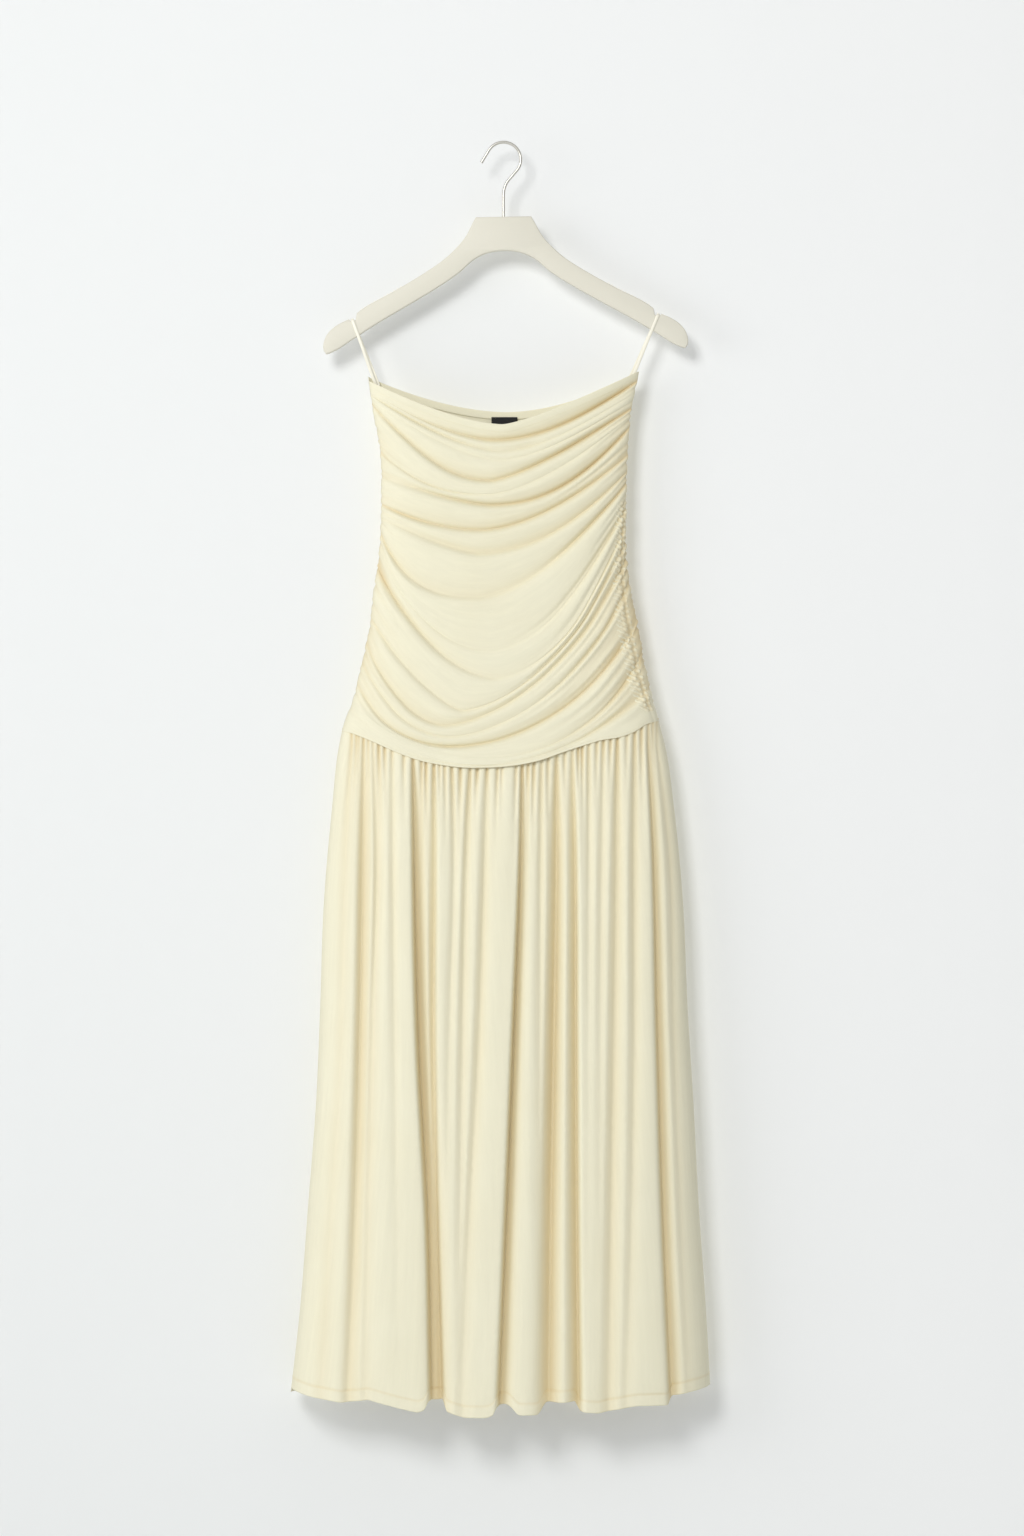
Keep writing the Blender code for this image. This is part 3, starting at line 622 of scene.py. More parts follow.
def makeSeamPuckers(across, out, drop):
    # the right side seam draws the cloth into a row of small puffs either side of its stitches
    down = np.arange(seamStrip["from"], seamStrip["to"], seamStrip["step"])
    beside = np.linspace(*seamStrip["reach"], seamStrip["columns"])
    points = []
    for u in beside:
        column = []
        for rowAcross, rowOut, rowDrop in zip(across, out, drop):
            inside = (rowAcross[-1] - rowAcross)[::-1]
            target = max(seamAway(rowDrop[-1]) + u, 0.2)
            row = (rowAcross, rowOut, rowDrop)
            column.append([np.interp(target, inside, values[::-1]) for values in row])
        column = np.array(column)
        order = np.maximum.accumulate(column[:, 2])
        points.append(place(np.interp(down, order, column[:, 0]), np.interp(down, order, column[:, 1]), down))
    points = np.stack(points, axis=1)
    rng = random.Random(4)
    turns = np.cumsum([rng.uniform(0.72, 1.3) for _ in down]) * seamStrip["step"] / seamStrip["pitch"]
    strength = through(np.arange(0, 400, 13), [rng.uniform(0.55, 1.15) for _ in range(31)], down)
    leftPuff = (0.5 + 0.5 * np.sin(2 * math.pi * turns))[:, None]
    rightPuff = (0.5 + 0.5 * np.sin(2 * math.pi * turns + 2.1))[:, None]
    u = beside[None, :]
    # the puffs lean down towards the seam, as the drapes do
    lean = np.sin(2 * math.pi * (turns[:, None] + u * 0.09))
    fan = seamStrip["fan"] * np.clip(lean, -0.2, 1) * np.exp(-(((u - 6.0) / 3.2) ** 2))
    lift = seamStrip["puffs"] * (0.15 + 0.85 * leftPuff) * np.exp(-(((u - 2.4) / 1.6) ** 2)) + fan
    lift += seamStrip["puffs"] * (0.15 + 0.85 * rightPuff) * np.exp(-(((u + 2.1) / 1.3) ** 2))
    ends = ease((down - down[0]) / 30) * ease((down[-1] - down) / 14)
    rim = ease((u - beside[-1]) / 1.2) * ease((beside[0] - u) / 2.5)
    lift = lift * (strength * ends)[:, None] * rim + 0.35 * rim * ends[:, None] - 0.45
    points += clothNormals(points) * lift[:, :, None] * mm
    # painted shade in the seam's groove, darker between the puffs
    paintedShade = 0.75 * np.exp(-((u / 5.5) ** 2)) * np.clip(1 - lift / 1.5, 0, 1) * ends[:, None]
    strip = clothGrid("sideSeamPuckers", points, paintedShade)
    addThickness(strip, 0.4)
    return finishPiece(strip, finishes["bodice jersey"])


neckFacing = {"tall": 9.0, "off": 0.4, "thick": 0.5, "rows": 9, "fromSide": 14}


def alongLine(values, drop, line):
    # the values on a line that crosses every column of a panel at the given drops
    return np.array([np.interp(line[c], drop[:, c], values[:, c]) for c in range(drop.shape[1])])


def makeNeckFacing(across, out, drop):
    # the turned edge that shows inside the back of the neck
    rows = []
    for tall in np.linspace(0, neckFacing["tall"], neckFacing["rows"]):
        line = drop[0] + tall
        inside = alongLine(out, drop, line) - dress["clothThick"] - neckFacing["off"]
        rows.append(place(alongLine(across, drop, line), -inside, line))
    ends = neckFacing["fromSide"]
    band = clothGrid("neckFacing", np.array(rows)[:, ends:-ends])
    addThickness(band, neckFacing["thick"], offset=1.0)
    return finishPiece(band, finishes["facing jersey painted lighter"])


def makeBodice(name, node, neck, drapes, gathers, seed, isFront):
    across, out, drop, paintedShade = bodiceShape(neck, drapes, gathers, seed, isFront)
    sewnOn = makeSeamPuckers(across, out, drop) if isFront else makeNeckFacing(across, out, drop)
    across, out, drop, paintedShade = tuckUnder(across, out, drop, paintedShade)
    side = 1 if isFront else -1
    shell = clothGrid(name, place(across, side * out, drop), paintedShade, facesBack=not isFront)
    addThickness(shell, dress["clothThick"])
    finishPiece(shell, finishes["bodice jersey"], (node,))
    print(name, "made")
    return across, out, drop


bothSides = ((-1, bodice["leftGathers"]), (1, bodice["rightGathers"]))
frontCloth = makeBodice(
    "bodiceFrontCloth", "bodice_front", bodice["frontNeck"], bodice["frontDrapes"], bothSides, 3, True
)
backCloth = makeBodice(
    "bodiceBackCloth", "bodice_back", bodice["backNeck"], bodice["backDrapes"], bothSides, 8, False
)

# Skirt. Each fold's valley: its place across at five drops, its depth at the top, the middle and
# the hem, how far its left and right flanks reach, how far its bottom leans to the right, and
# how many small gathers lie between it and the next fold.

skirt = {
    "columns": 300,
    "levels": (427, 537, 757, 988, 1167),
    "depthLevels": (427, 757, 1167),
    "gatherDepth": 6.0,
    "gatherRun": 46.0,
    "foldStart": 55.0,
    "hemBand": 15.0,
    "frontHem": (
        (-247, 1169), (-218, 1175), (-184, 1179), (-154, 1175), (-120, 1184), (-98, 1189), (-89, 1186),
        (-87, 1177), (-68, 1176), (-66, 1188), (-45, 1195), (-20, 1195), (-11, 1192), (-9, 1184),
        (2, 1180), (8, 1182), (17, 1192), (40, 1192), (45, 1184), (48, 1179), (83, 1177), (86, 1188),
        (108, 1190), (152, 1182), (190, 1182), (192, 1173), (214, 1169), (240, 1165),
    ),
    "backHem": (
        (-247, 1175),
        (-190, 1183),
        (-120, 1181),
        (-40, 1188),
        (30, 1184),
        (110, 1187),
        (180, 1177),
        (240, 1167),
    ),
    "frontFolds": (
        ((-175, -182, -187, -200, -210), (6, 4, 4), 7, 9, 0, 2),
        ((-161, -162, -165, -171, -178), (14, 13, 7), 5.5, 10, 0, 1),
        ((-150, -146, -151, -156, -159), (8, 6, 3), 5, 8, 0, 2),
        ((-128, -127, -125, -122, -120), (6, 3, 0), 5, 6, 0, 1),
        ((-104, -103, -98, -86, -82), (16, 20, 20), 2.4, 12, 0, 2),
        ((-80, -79, -80, -76, -71), (9, 12, 20), 8, 3, 0, 2),
        ((-60, -57, -62, -66, -68), (6, 3, 0), 5, 7, 0, 1),
        ((-37, -42, -47, -50, -52), (7, 5, 1), 5, 8, 0, 1),
        ((-18, -21, -28, -40, -48), (7, 6, 3), 6, 8, 0, 3),
        ((22, 20, 12, 3, -4), (13, 17, 17), 2.4, 8, 0, 2),
        ((44, 43, 42, 41, 40), (6, 4, 1), 6, 7, 0, 1),
        ((61, 61, 58, 54, 52), (13, 18, 18), 9, 8, 0, 1),
        ((79, 82, 83, 84, 86), (11, 14, 16), 8, 2.8, 0, 2),
        ((98, 98, 97, 97, 97), (6, 2, 0), 5, 8, 0, 1),
        ((115, 113, 111, 110, 108), (7, 3, 1), 6, 8, 0, 1),
        ((131, 130, 127, 123, 120), (9, 8, 6), 7, 9, 0, 1),
        ((151, 150, 150, 146, 140), (10, 6, 3), 6, 8, 0, 1),
        ((167, 172, 177, 184, 192), (14, 17, 17), 2.6, 8, 0, 1),
        ((177, 190, 196, 204, 212), (7, 5, 3), 6, 7, 0, 0),
    ),
    "backFolds": (
        ((-170, -176, -183, -193, -200), (8, 9, 10), 11, 14, 0, 4),
        ((-128, -131, -137, -146, -152), (9, 12, 14), 14, 11, 0, 4),
        ((-88, -88, -92, -96, -101), (8, 10, 13), 11, 15, 0, 3),
        ((-52, -50, -48, -52, -55), (7, 9, 12), 13, 12, 0, 3),
        ((-14, -12, -9, -7, -8), (9, 13, 16), 14, 10, 0, 3),
        ((22, 26, 31, 34, 39), (7, 9, 10), 11, 14, 0, 4),
        ((66, 69, 74, 81, 86), (9, 12, 15), 11, 15, 0, 3),
        ((104, 107, 113, 121, 128), (8, 10, 11), 13, 12, 0, 3),
        ((146, 152, 160, 170, 177), (9, 12, 13), 14, 12, 0, 3),
    ),
}


def gatherPlaces(folds, drop, seed):
    # every fold and small gather across the skirt, with how deep and how long each gather is
    lines = [section("left", drop)]
    lines += [through(skirt["levels"], fold[0], drop) for fold in folds]
    lines.append(section("right", drop))
    rng = random.Random(seed)
    places = []
    for k, fold in enumerate(folds, start=1):
        for n in range(fold[5] + 1):
            f = n / (fold[5] + 1)
            f += rng.uniform(-0.08, 0.08) * (n > 0)
            centre = lines[k] + (lines[k + 1] - lines[k]) * f
            places.append((centre, rng.uniform(0.7, 1.25), rng.uniform(0.6, 1.9)))
    return places


def skirtFall(folds, across, drop, belowSeam, seed):
    opened = 1 - np.exp(-belowSeam / skirt["foldStart"])
    down = belowSeam / 740
    total = np.zeros_like(across)
    lean = np.zeros_like(across)
    for centres, depths, left, right, leaning, _ in folds:
        centre = through(skirt["levels"], centres, drop)
        depth = through(skirt["depthLevels"], depths, drop) * opened
        widen = 0.75 + 0.45 * down
        reach = np.where(across < centre, left, right) * widen
        well = np.exp(-(np.abs((across - centre) / reach) ** 1.6))
        total += (depth * well) ** 3
        lean += leaning * well * opened
    small = np.zeros_like(across)
    for centre, deep, long in gatherPlaces(folds, drop, seed):
        fade = np.exp(-belowSeam / (skirt["gatherRun"] * long))
        well = np.exp(-(np.abs((across - centre) / (1.8 + 0.024 * belowSeam)) ** 1.6))
        small = np.maximum(small, deep * well * fade)
    fall = np.cbrt(total)
    # painted shade: darker in deeper folds and, near the seam, in the small gathers
    paintedShade = (1 - np.exp(-fall / 13)) ** 1.3 + 0.85 * small * np.exp(-belowSeam / 60)
    small *= 0.5 + 0.5 * (1 - np.exp(-belowSeam / 7))
    return fall + skirt["gatherDepth"] * small, lean, np.clip(paintedShade, 0, 1)


def hemDrop(hem, across):
    # the hem's line, its steps a little softened
    table = np.array(hem, float)
    return sum(np.interp(across + shift, table[:, 0], table[:, 1]) for shift in (-1.5, 0, 1.5)) / 3


def skirtRows():
    # close rows at the gathers and at the hem's band, wider ones between
    gathered = np.linspace(0, 0.085, 34, endpoint=False)
    hanging = np.linspace(0.085, 0.965, 92, endpoint=False)
    band = np.linspace(0.965, 1, 18)
    return np.concatenate([gathered, hanging, band])


def skirtRow(folds, hem, column, t, seed, samples=1700):
    # one row of the skirt, its columns spread evenly over the folds' real length
    turn = np.linspace(-1, 1, samples)
    part = np.sign(turn) * (1 - (1 - np.abs(turn)) ** 1.2)
    drop = np.full(samples, 427 + t * 740.0)
    for _ in range(5):
        across = acrossAt(part, drop)
        top = alongEdge(dress["waistSeam"], across)
        drop = top + (hemDrop(hem, across) - top) * t
    belowSeam = drop - top
    fall, lean, paintedShade = skirtFall(folds, across, drop, belowSeam, seed)
    rise = 1.2 * (1 - np.exp(-belowSeam / 12))
    band = skirt["hemBand"]
    fromHem = (hemDrop(hem, across) - top) * (1 - t)
    turned = 0.7 * ease((band - fromHem) / 1.2)
    stitched = np.exp(-(((fromHem - band + 1.8) / 1.2) ** 2))
    # painted shade along the stitched groove above the hem
    paintedShade = np.clip(paintedShade + 0.3 * stitched, 0, 1)
    out = (section(column, drop) - 1.4 + rise - fall + turned - 1.1 * stitched) * sideProfile(part)
    step = np.hypot(np.diff(across), np.diff(out))
    bend = np.abs(np.gradient(np.gradient(out, across), across))
    weight = step * (1 + np.minimum(bend[:-1] * 6, 1.5))
    run = np.concatenate([[0], np.cumsum(weight)])
    even = np.interp(np.linspace(0, run[-1], skirt["columns"]), run, np.arange(samples))

    def picked(values):
        return np.interp(even, np.arange(samples), values)

    return picked(across + lean), picked(out), picked(drop), picked(paintedShade)


def makeSkirt(name, node, folds, hem, column, seed):
    rows = [skirtRow(folds, hem, column, t, seed) for t in skirtRows()]
    across, out, drop, paintedShade = [np.array(values) for values in zip(*rows)]
    isFront = column == "front"
    facing = 1 if isFront else -1
    tucked = np.array([-3.0, -1.5])[:, None]
    across = np.vstack([across[:1], across[:1], across])
    out = np.vstack([out[:1] - 0.8, out[:1] - 0.3, out])
    drop = np.vstack([drop[:1] + tucked, drop])
    paintedShade = np.vstack([paintedShade[:1], paintedShade[:1], paintedShade])
    points = place(across, facing * (out + dress["skin"] * 0.3), drop)
    shell = clothGrid(name, points, paintedShade, facesBack=not isFront)
    addThickness(shell, dress["clothThick"])
    finishPiece(shell, finishes["skirt jersey"], (node,))
    print(name, "made")
    return shell


makeSkirt("skirtFrontCloth", "skirt_front", skirt["frontFolds"], skirt["frontHem"], "front", 5)
makeSkirt("skirtBackCloth", "skirt_back", skirt["backFolds"], skirt["backHem"], "back", 11)

# Hanger board: half its outline, out from the middle and down from its top, and whether the
# outline turns sharply there.

hanger = {
    "top": 84.9,
    "tilt": 1.0,
    "thick": 9.0,
    "rounding": 1.6,
    "outline": (
        (32, 0, True),
        (36, 7, False),
        (44, 22, False),
        (56, 36, False),
        (72, 50, False),
        (91, 62.5, False),
        (129, 84.5, False),
        (166, 104.5, False),
        (171.5, 108.5, True),
        (173, 116.5, True),
        (178.5, 117.5, True),
        (181, 115.5, True),
        (190, 119.5, False),
        (199, 125, False),
        (206, 132, False),
        (210.5, 142, False),
        (211, 150, False),
        (208, 155, False),
        (200, 152.5, False),
        (176, 138, False),
        (145, 119, False),
        (114, 101.5, False),
        (82, 83, False),
        (51, 62.5, False),
        (36, 49.5, False),
        (21, 42, False),
        (10, 39.6, False),
        (0, 39, False),
    ),
    "teethFrom": 120,
    "teethTo": 166,
    "teeth": 13,
    "toothSize": 1.9,
}


def onHanger(out, down, y=0.0):
    tilt = math.radians(hanger["tilt"])
    across = out * math.cos(tilt) + down * math.sin(tilt)
    height = out * math.sin(tilt) - down * math.cos(tilt)
    return Vector((across * mm, y * mm, (height - hanger["top"]) * mm))


def smoothOutline(corners, steps=4):
    # rounds the gentle stretches between the sharp turns
    ends = [0] + [k for k, corner in enumerate(corners) if corner[2] and k > 0] + [len(corners) - 1]
    ends = sorted(set(ends))
    made = []
    for start, end in zip(ends, ends[1:]):
        run = np.array([corner[:2] for corner in corners[start : end + 1]], float)
        if len(run) < 3:
            made += [tuple(point) for point in run[:-1]]
            continue
        length = np.concatenate([[0], np.cumsum(np.hypot(*np.diff(run, axis=0).T))])
        fine = np.linspace(0, length[-1], steps * (len(run) - 1), endpoint=False)
        made += list(zip(through(length, run[:, 0], fine), through(length, run[:, 1], fine)))
    return made + [corners[-1][:2]]


def makeHanger():
    half = smoothOutline(hanger["outline"])
    outline = half + [(-out, down) for out, down in reversed(half[:-1])]
    bm = bmesh.new()
    face = bm.faces.new([bm.verts.new(onHanger(out, down, -hanger["thick"] / 2)) for out, down in outline])
    grown = bmesh.ops.extrude_face_region(bm, geom=[face], use_keep_orig=True)
    moved = [item for item in grown["geom"] if isinstance(item, bmesh.types.BMVert)]
    bmesh.ops.translate(bm, verts=moved, vec=(0, hanger["thick"] * mm, 0))
    bmesh.ops.recalc_face_normals(bm, faces=bm.faces[:])
    flat = {f for f in bm.faces if abs(f.normal.y) > 0.9}
    rims = [e for e in bm.edges if any(f in flat for f in e.link_faces)]
    bmesh.ops.bevel(
        bm,
        geom=rims,
        offset=hanger["rounding"] * mm,
        segments=3,
        profile=0.5,
        affect="EDGES",
        material=-1,
    )
    board = newObject("hangerBoard", bm)
    board.data.shade_smooth()
    board.data.set_sharp_from_angle(angle=math.radians(40))
    finishPiece(board, finishes["board"], ("hanger",))


def makeTeeth():
    # fine teeth along the upper edge keep straps from sliding
    bm = bmesh.new()
    upper = [(out, down) for out, down, _ in hanger["outline"][:9]]
    size = hanger["toothSize"] * mm
    for side in (-1, 1):
        for out in np.linspace(hanger["teethFrom"], hanger["teethTo"], hanger["teeth"]):
            down = np.interp(out, [p[0] for p in upper], [p[1] for p in upper])
            made = bmesh.ops.create_cone(
                bm, cap_ends=True, segments=4, radius1=size, radius2=size, depth=6.5 * mm
            )
            verts = made["verts"]
            for vert in verts:
                vert.co = Vector((vert.co.x, vert.co.z, vert.co.y))
            bmesh.ops.translate(bm, verts=verts, vec=onHanger(side * out, down - 0.1))
    bmesh.ops.recalc_face_normals(bm, faces=bm.faces[:])
    finishPiece(newObject("hangerTeeth", bm), finishes["teeth"])


makeHanger()
makeTeeth()
print("hanger made")

hook = {
    "wire": 1.75,
    "crook": 20.0,
    "opensAt": 149,
    "endsAt": -38,
    "tip": 16.5,
    "bendFrom": 44.0,
    "bendTo": 54.0,
}


def makeHook():
    centre = Vector((0, 0, hook["wire"] - hook["crook"]))
    path = []
    for angle in np.linspace(hook["opensAt"], hook["endsAt"], 34):
        turn = math.radians(angle)
        path.append(centre + hook["crook"] * Vector((math.cos(turn), 0, math.sin(turn))))
    opens = math.radians(hook["opensAt"])
    away = Vector((-math.sin(opens), 0, math.cos(opens)))
    path = [path[0] + hook["tip"] * away, path[0] + hook["tip"] * 0.5 * away] + path
    corner = Vector((0, 0, -(hook["bendFrom"] + hook["bendTo"]) / 2))
    start = path[-1].lerp(corner, 0.6)
    end = Vector((0, 0, -hook["bendTo"] - 6))
    for f in np.linspace(0, 1, 9):
        path.append(start.lerp(corner, f).lerp(corner.lerp(end, f), f))
    path.append(Vector((0, 0, -hanger["top"] - 0.5)))
    curve = bpy.data.curves.new("hookWire", "CURVE")
    curve.dimensions = "3D"
    curve.bevel_depth = hook["wire"] * mm
    curve.bevel_resolution = 6
    curve.use_fill_caps = True
    spline = curve.splines.new("POLY")
    spline.points.add(len(path) - 1)
    for point, co in zip(spline.points, path):
        point.co = (*(co * mm), 1)
    spline.use_smooth = True
    wire = bpy.data.objects.new("hookWire", curve)
    bpy.context.collection.objects.link(wire)
    curve.materials.append(finishes["wire"])
    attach(wire, "root")
    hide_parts("hanger_hook")


makeHook()
print("hook made")

loops = {
    "width": 3.6,
    "thick": 0.5,
    "notchOut": 176,
    "notchDown": 118.2,
    "beside": 34.0,
    "endRadius": 1.6,
    "inside": 12.0,
    "enters": {"left": -145.5, "right": 143.5},
}


def makeLoop(side):
    enters = loops["enters"][side]
    sign = math.copysign(1, enters)
    over = onHanger(sign * loops["notchOut"], loops["notchDown"])
    into = Vector((enters * mm, 0, -(dress["sideTop"] + loops["inside"]) * mm))
    along = (into - over).normalized()
    wide = along.cross(Vector((0, 1, 0)))
    radius = (hanger["thick"] / 2 + 0.35) * mm
    endRadius = loops["endRadius"] * mm
    length = (into - over).length - endRadius
    beside = loops["beside"] * mm
    path = []
    for k in range(13):
        turn = math.pi * k / 12
        path.append((-radius * math.sin(turn) * 0.75, radius * math.cos(turn)))
    down = np.linspace(beside, length, 9)
    back = [(a, -radius + (radius - endRadius) * ease((a - beside) / (length - beside))) for a in down]
    bend = []
    for k in range(1, 8):
        turn = math.pi * k / 8
        bend.append((length + endRadius * math.sin(turn), -endRadius * math.cos(turn)))
    front = [(a, -out) for a, out in reversed(back)]
    ring = path + back + bend + front
    count = len(ring)
    bm = bmesh.new()
    bmesh.ops.create_grid(bm, x_segments=count, y_segments=4, size=0.5)
    for vert in bm.verts:
        k = int(round((vert.co.x + 0.5) * count))
        a, out = ring[k % count]
        sideways = vert.co.y * loops["width"] * mm
        spread = -sign * 1.4 * mm * (1 if out < 0 else -1) * float(ease(a / length))
        cup = 0.25 * mm * (1 - (vert.co.y * 2) ** 2)
        lifted = Vector((0, out + math.copysign(cup, out), 0))
        vert.co = over + along * a + lifted + wide * (sideways - spread)
    bmesh.ops.remove_doubles(bm, verts=bm.verts[:], dist=1e-6)
    bmesh.ops.recalc_face_normals(bm, faces=bm.faces[:])
    name = "hangingLoop" + side.title()
    ribbon = newObject(name, bm)
    ribbon.data.shade_smooth()
    addThickness(ribbon, loops["thick"], offset=0.0)
    finishPiece(ribbon, finishes["ribbon"], ("hanger_loop_" + side,))


for sideName in ("left", "right"):
    makeLoop(sideName)
print("loops made")

label = {"left": -14.0, "right": 16.0, "top": 46.5, "tall": 12.0, "thick": 0.5}


def onBackInside(across, drop, off):
    part = partAt(across, drop)
    bulge = section("back", drop) * sideProfile(part)
    return place(across, -(bulge - dress["clothThick"] - off), drop)


def makeLabel():
    across, drop = np.meshgrid(
        np.linspace(label["left"], label["right"], 25),
        label["top"] + np.linspace(0, label["tall"], 11),
    )
    tag = clothGrid("neckLabel", onBackInside(across, drop, 2.4))
    addThickness(tag, label["thick"], offset=1.0)
    finishPiece(tag, finishes["label"], ("neck_label",))


makeLabel()
print("label made")

# Sewing: short stitches on the hem, the neck edge and beside the waist seam.

sewing = {
    "long": 2.6,
    "gap": 1.1,
    "thick": 0.42,
    "taper": 0.55,
    "belowNeck": 9.0,
    "aboveWaist": 2.2,
    "fromSide": 12,
}


def rowOfStitches(name, points, normals):
    # points follow the cloth; each stitch is a flattened four sided rod
    lengths = np.concatenate([[0], np.cumsum(np.linalg.norm(np.diff(points, axis=0), axis=1))])
    pitch = (sewing["long"] + sewing["gap"]) * mm
    count = int(lengths[-1] / pitch)
    bm = bmesh.new()
    for k in range(count):
        middle = (k + 0.5) * pitch
        ends = [middle - sewing["long"] * mm / 2, middle + sewing["long"] * mm / 2]
        a, b = [Vector([np.interp(s, lengths, points[:, i]) for i in range(3)]) for s in ends]
        out = Vector([np.interp(middle, lengths, normals[:, i]) for i in range(3)]).normalized()
        along = (b - a).normalized()
        side = along.cross(out).normalized()
        made = bmesh.ops.create_cube(bm, size=1)["verts"]
        for vert in made:
            x, y, z = vert.co
            vert.co = (
                (a + b) / 2
                + along * x * (b - a).length
                + side * y * sewing["thick"] * mm * sewing["taper"]
                + out * (z * sewing["thick"] * 0.7 * mm + 0.1 * mm)
            )
    stitches = newObject(name, bm)
    finishPiece(stitches, finishes["thread"])


def makeSeamStitches(name, cloth, fromTop=None, fromBottom=None, side=1):
    # a row of stitches across a bodice panel, a little below its top or above its lower edge
    ends = sewing["fromSide"]
    tuck = bodice["tuckRows"]
    across, out, drop = [values[:-tuck, ends:-ends] for values in cloth]
    middle = drop[0] + fromTop if fromTop else drop.max(axis=0) - fromBottom
    lines = []
    for shift in (-1.0, 0.0, 1.0):
        line = middle + shift
        lines.append(place(alongLine(across, drop, line), side * alongLine(out, drop, line), line))
    lines = np.array(lines)
    rowOfStitches(name, lines[1], clothNormals(lines)[1] * side)


def makeHemStitches(name, folds, hem, column, seed):
    band = 1 - (skirt["hemBand"] - 1.5) / 745
    facing = 1 if column == "front" else -1
    rows = [skirtRow(folds, hem, column, t, seed) for t in (band - 0.002, band, band + 0.002)]
    grid = np.array([place(a, facing * (out + dress["skin"] * 0.3), drop) for a, out, drop, _ in rows])
    normals = clothNormals(grid)[1] * (-facing)
    if np.mean(normals[:, 1]) * facing > 0:
        normals = -normals
    rowOfStitches(name, grid[1] + normals * 0.05 * mm, normals)


for panel, cloth, side in (("Front", frontCloth, 1), ("Back", backCloth, -1)):
    makeSeamStitches("neckStitches" + panel, cloth, fromTop=sewing["belowNeck"], side=side)
    makeSeamStitches("waistStitches" + panel, cloth, fromBottom=sewing["aboveWaist"], side=side)
makeHemStitches("hemStitchesFront", skirt["frontFolds"], skirt["frontHem"], "front", 5)
makeHemStitches("hemStitchesBack", skirt["backFolds"], skirt["backHem"], "back", 11)
print("sewing made")

# Stage, light and camera

stageLooks = {
    "wallBehind": 0.037,
    "wallHalfWide": 0.8,
    "wallTop": 0.3,
    "floorDown": -1.75,
    "wall": (0.87, 0.885, 0.885),
    # wallLeft is darker than wallRight: painted shade against the key light falling brighter on the left
    "wallLeft": (0.775, 0.79, 0.785),
    "wallRight": (0.885, 0.895, 0.89),
    "wallGlow": 0.03,
    "world": 0.46,
}


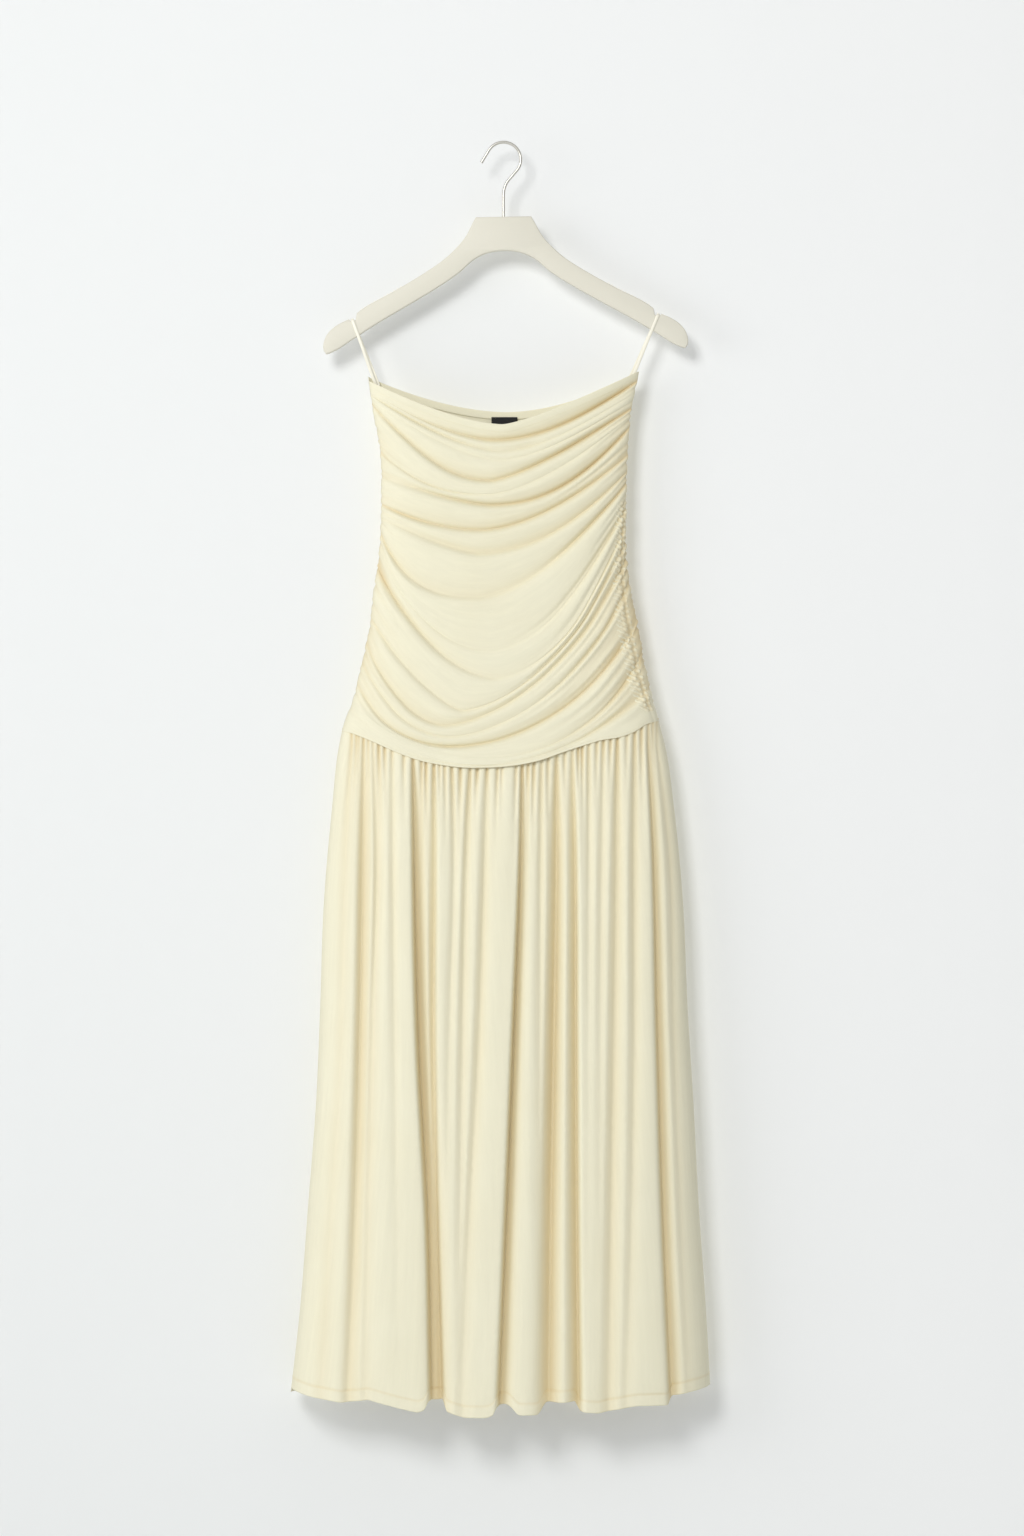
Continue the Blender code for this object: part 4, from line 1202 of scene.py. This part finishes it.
def makeStage():
    glow = {"Emission Color": (1.0, 1.0, 1.0, 1.0), "Emission Strength": stageLooks["wallGlow"]}
    wallFinish = newMaterial("plain wall", stageLooks["wall"], 0.9, **glow)
    shader = wallFinish.node_tree.nodes["Principled BSDF"]
    output = wallFinish.node_tree.nodes["Material Output"]
    spot = addNode(wallFinish, "ShaderNodeTexCoord")
    apart = addNode(wallFinish, "ShaderNodeSeparateXYZ")
    link(wallFinish, spot.outputs["Object"], apart.inputs["Vector"])
    # painted shade: the wall's colour runs from darker on the left to lighter on the right
    span = addNode(wallFinish, "ShaderNodeMapRange")
    span.inputs["From Min"].default_value = -0.55
    span.inputs["From Max"].default_value = 0.55
    link(wallFinish, apart.outputs["X"], span.inputs["Value"])
    wallPaintedShade = addNode(wallFinish, "ShaderNodeMixRGB")
    wallPaintedShade.inputs["Color1"].default_value = (*stageLooks["wallLeft"], 1.0)
    wallPaintedShade.inputs["Color2"].default_value = (*stageLooks["wallRight"], 1.0)
    link(wallFinish, span.outputs["Result"], wallPaintedShade.inputs["Fac"])
    link(wallFinish, wallPaintedShade.outputs["Color"], shader.inputs["Base Color"])
    side = addNode(wallFinish, "ShaderNodeNewGeometry")
    clear = addNode(wallFinish, "ShaderNodeBsdfTransparent")
    mixed = addNode(wallFinish, "ShaderNodeMixShader")
    link(wallFinish, side.outputs["Backfacing"], mixed.inputs["Fac"])
    link(wallFinish, shader.outputs["BSDF"], mixed.inputs[1])
    link(wallFinish, clear.outputs["BSDF"], mixed.inputs[2])
    link(wallFinish, mixed.outputs["Shader"], output.inputs["Surface"])
    bm = bmesh.new()
    bmesh.ops.create_grid(bm, x_segments=1, y_segments=1, size=1)
    tall = stageLooks["wallTop"] - stageLooks["floorDown"]
    for vert in bm.verts:
        x, y, _ = vert.co
        height = stageLooks["floorDown"] + tall * (y + 1) / 2
        vert.co = (x * stageLooks["wallHalfWide"], stageLooks["wallBehind"], height)
    bm.normal_update()
    if bm.faces[:][0].normal.y > 0:
        bmesh.ops.reverse_faces(bm, faces=bm.faces[:])
    wall = newObject("backWall", bm)
    wall.data.materials.append(wallFinish)
    wall.visible_shadow = False
    wall.visible_diffuse = False
    floorFinish = newMaterial("plain floor", stageLooks["wall"], 0.9)
    bm = bmesh.new()
    bmesh.ops.create_grid(bm, x_segments=1, y_segments=1, size=8)
    bmesh.ops.translate(bm, verts=bm.verts[:], vec=(0, 0, stageLooks["floorDown"]))
    floor = newObject("paleFloor", bm)
    floor.data.materials.append(floorFinish)


def makeLight(name, power, size, spot, target):
    data = bpy.data.lights.new(name, "AREA")
    data.energy = power
    data.size = size
    lamp = bpy.data.objects.new(name, data)
    lamp.location = spot
    lamp.rotation_euler = (Vector(target) - Vector(spot)).to_track_quat("-Z", "Y").to_euler()
    bpy.context.collection.objects.link(lamp)


def makeWorld():
    world = bpy.data.worlds.new("studio")
    bpy.context.scene.world = world
    world.use_nodes = True
    background = world.node_tree.nodes["Background"]
    background.inputs["Color"].default_value = (1.0, 1.0, 1.0, 1.0)
    background.inputs["Strength"].default_value = stageLooks["world"]


def makeCamera():
    data = bpy.data.cameras.new("camera")
    tall = photo["height"] * photo["mmPerPixel"] * mm
    data.sensor_fit = "VERTICAL"
    data.sensor_height = photo["sensor"]
    data.sensor_width = photo["sensor"]
    data.lens = photo["sensor"] * photo["cameraFar"] / tall
    data.clip_end = 50
    camera = bpy.data.objects.new("camera", data)
    across = (photo["width"] / 2 - photo["originAcross"]) * photo["mmPerPixel"] * mm
    height = (photo["originDown"] - photo["height"] / 2) * photo["mmPerPixel"] * mm
    camera.location = (across, -photo["cameraFar"], height)
    camera.rotation_euler = (math.pi / 2, 0, 0)
    bpy.context.collection.objects.link(camera)
    bpy.context.scene.camera = camera


makeStage()
makeLight("softKey", 65, 1.1, (-1.15, -3.5, 0.95), (0, 0, -0.75))
makeLight("sideFill", 26, 1.8, (-3.0, -1.9, -0.2), (0, 0, -0.8))
makeLight("backFill", 80, 2.0, (1.2, 3.6, 0.9), (0, 0, -0.8))
makeWorld()
makeCamera()
bpy.context.scene.view_settings.view_transform = "Standard"
print("stage, lights and camera made")
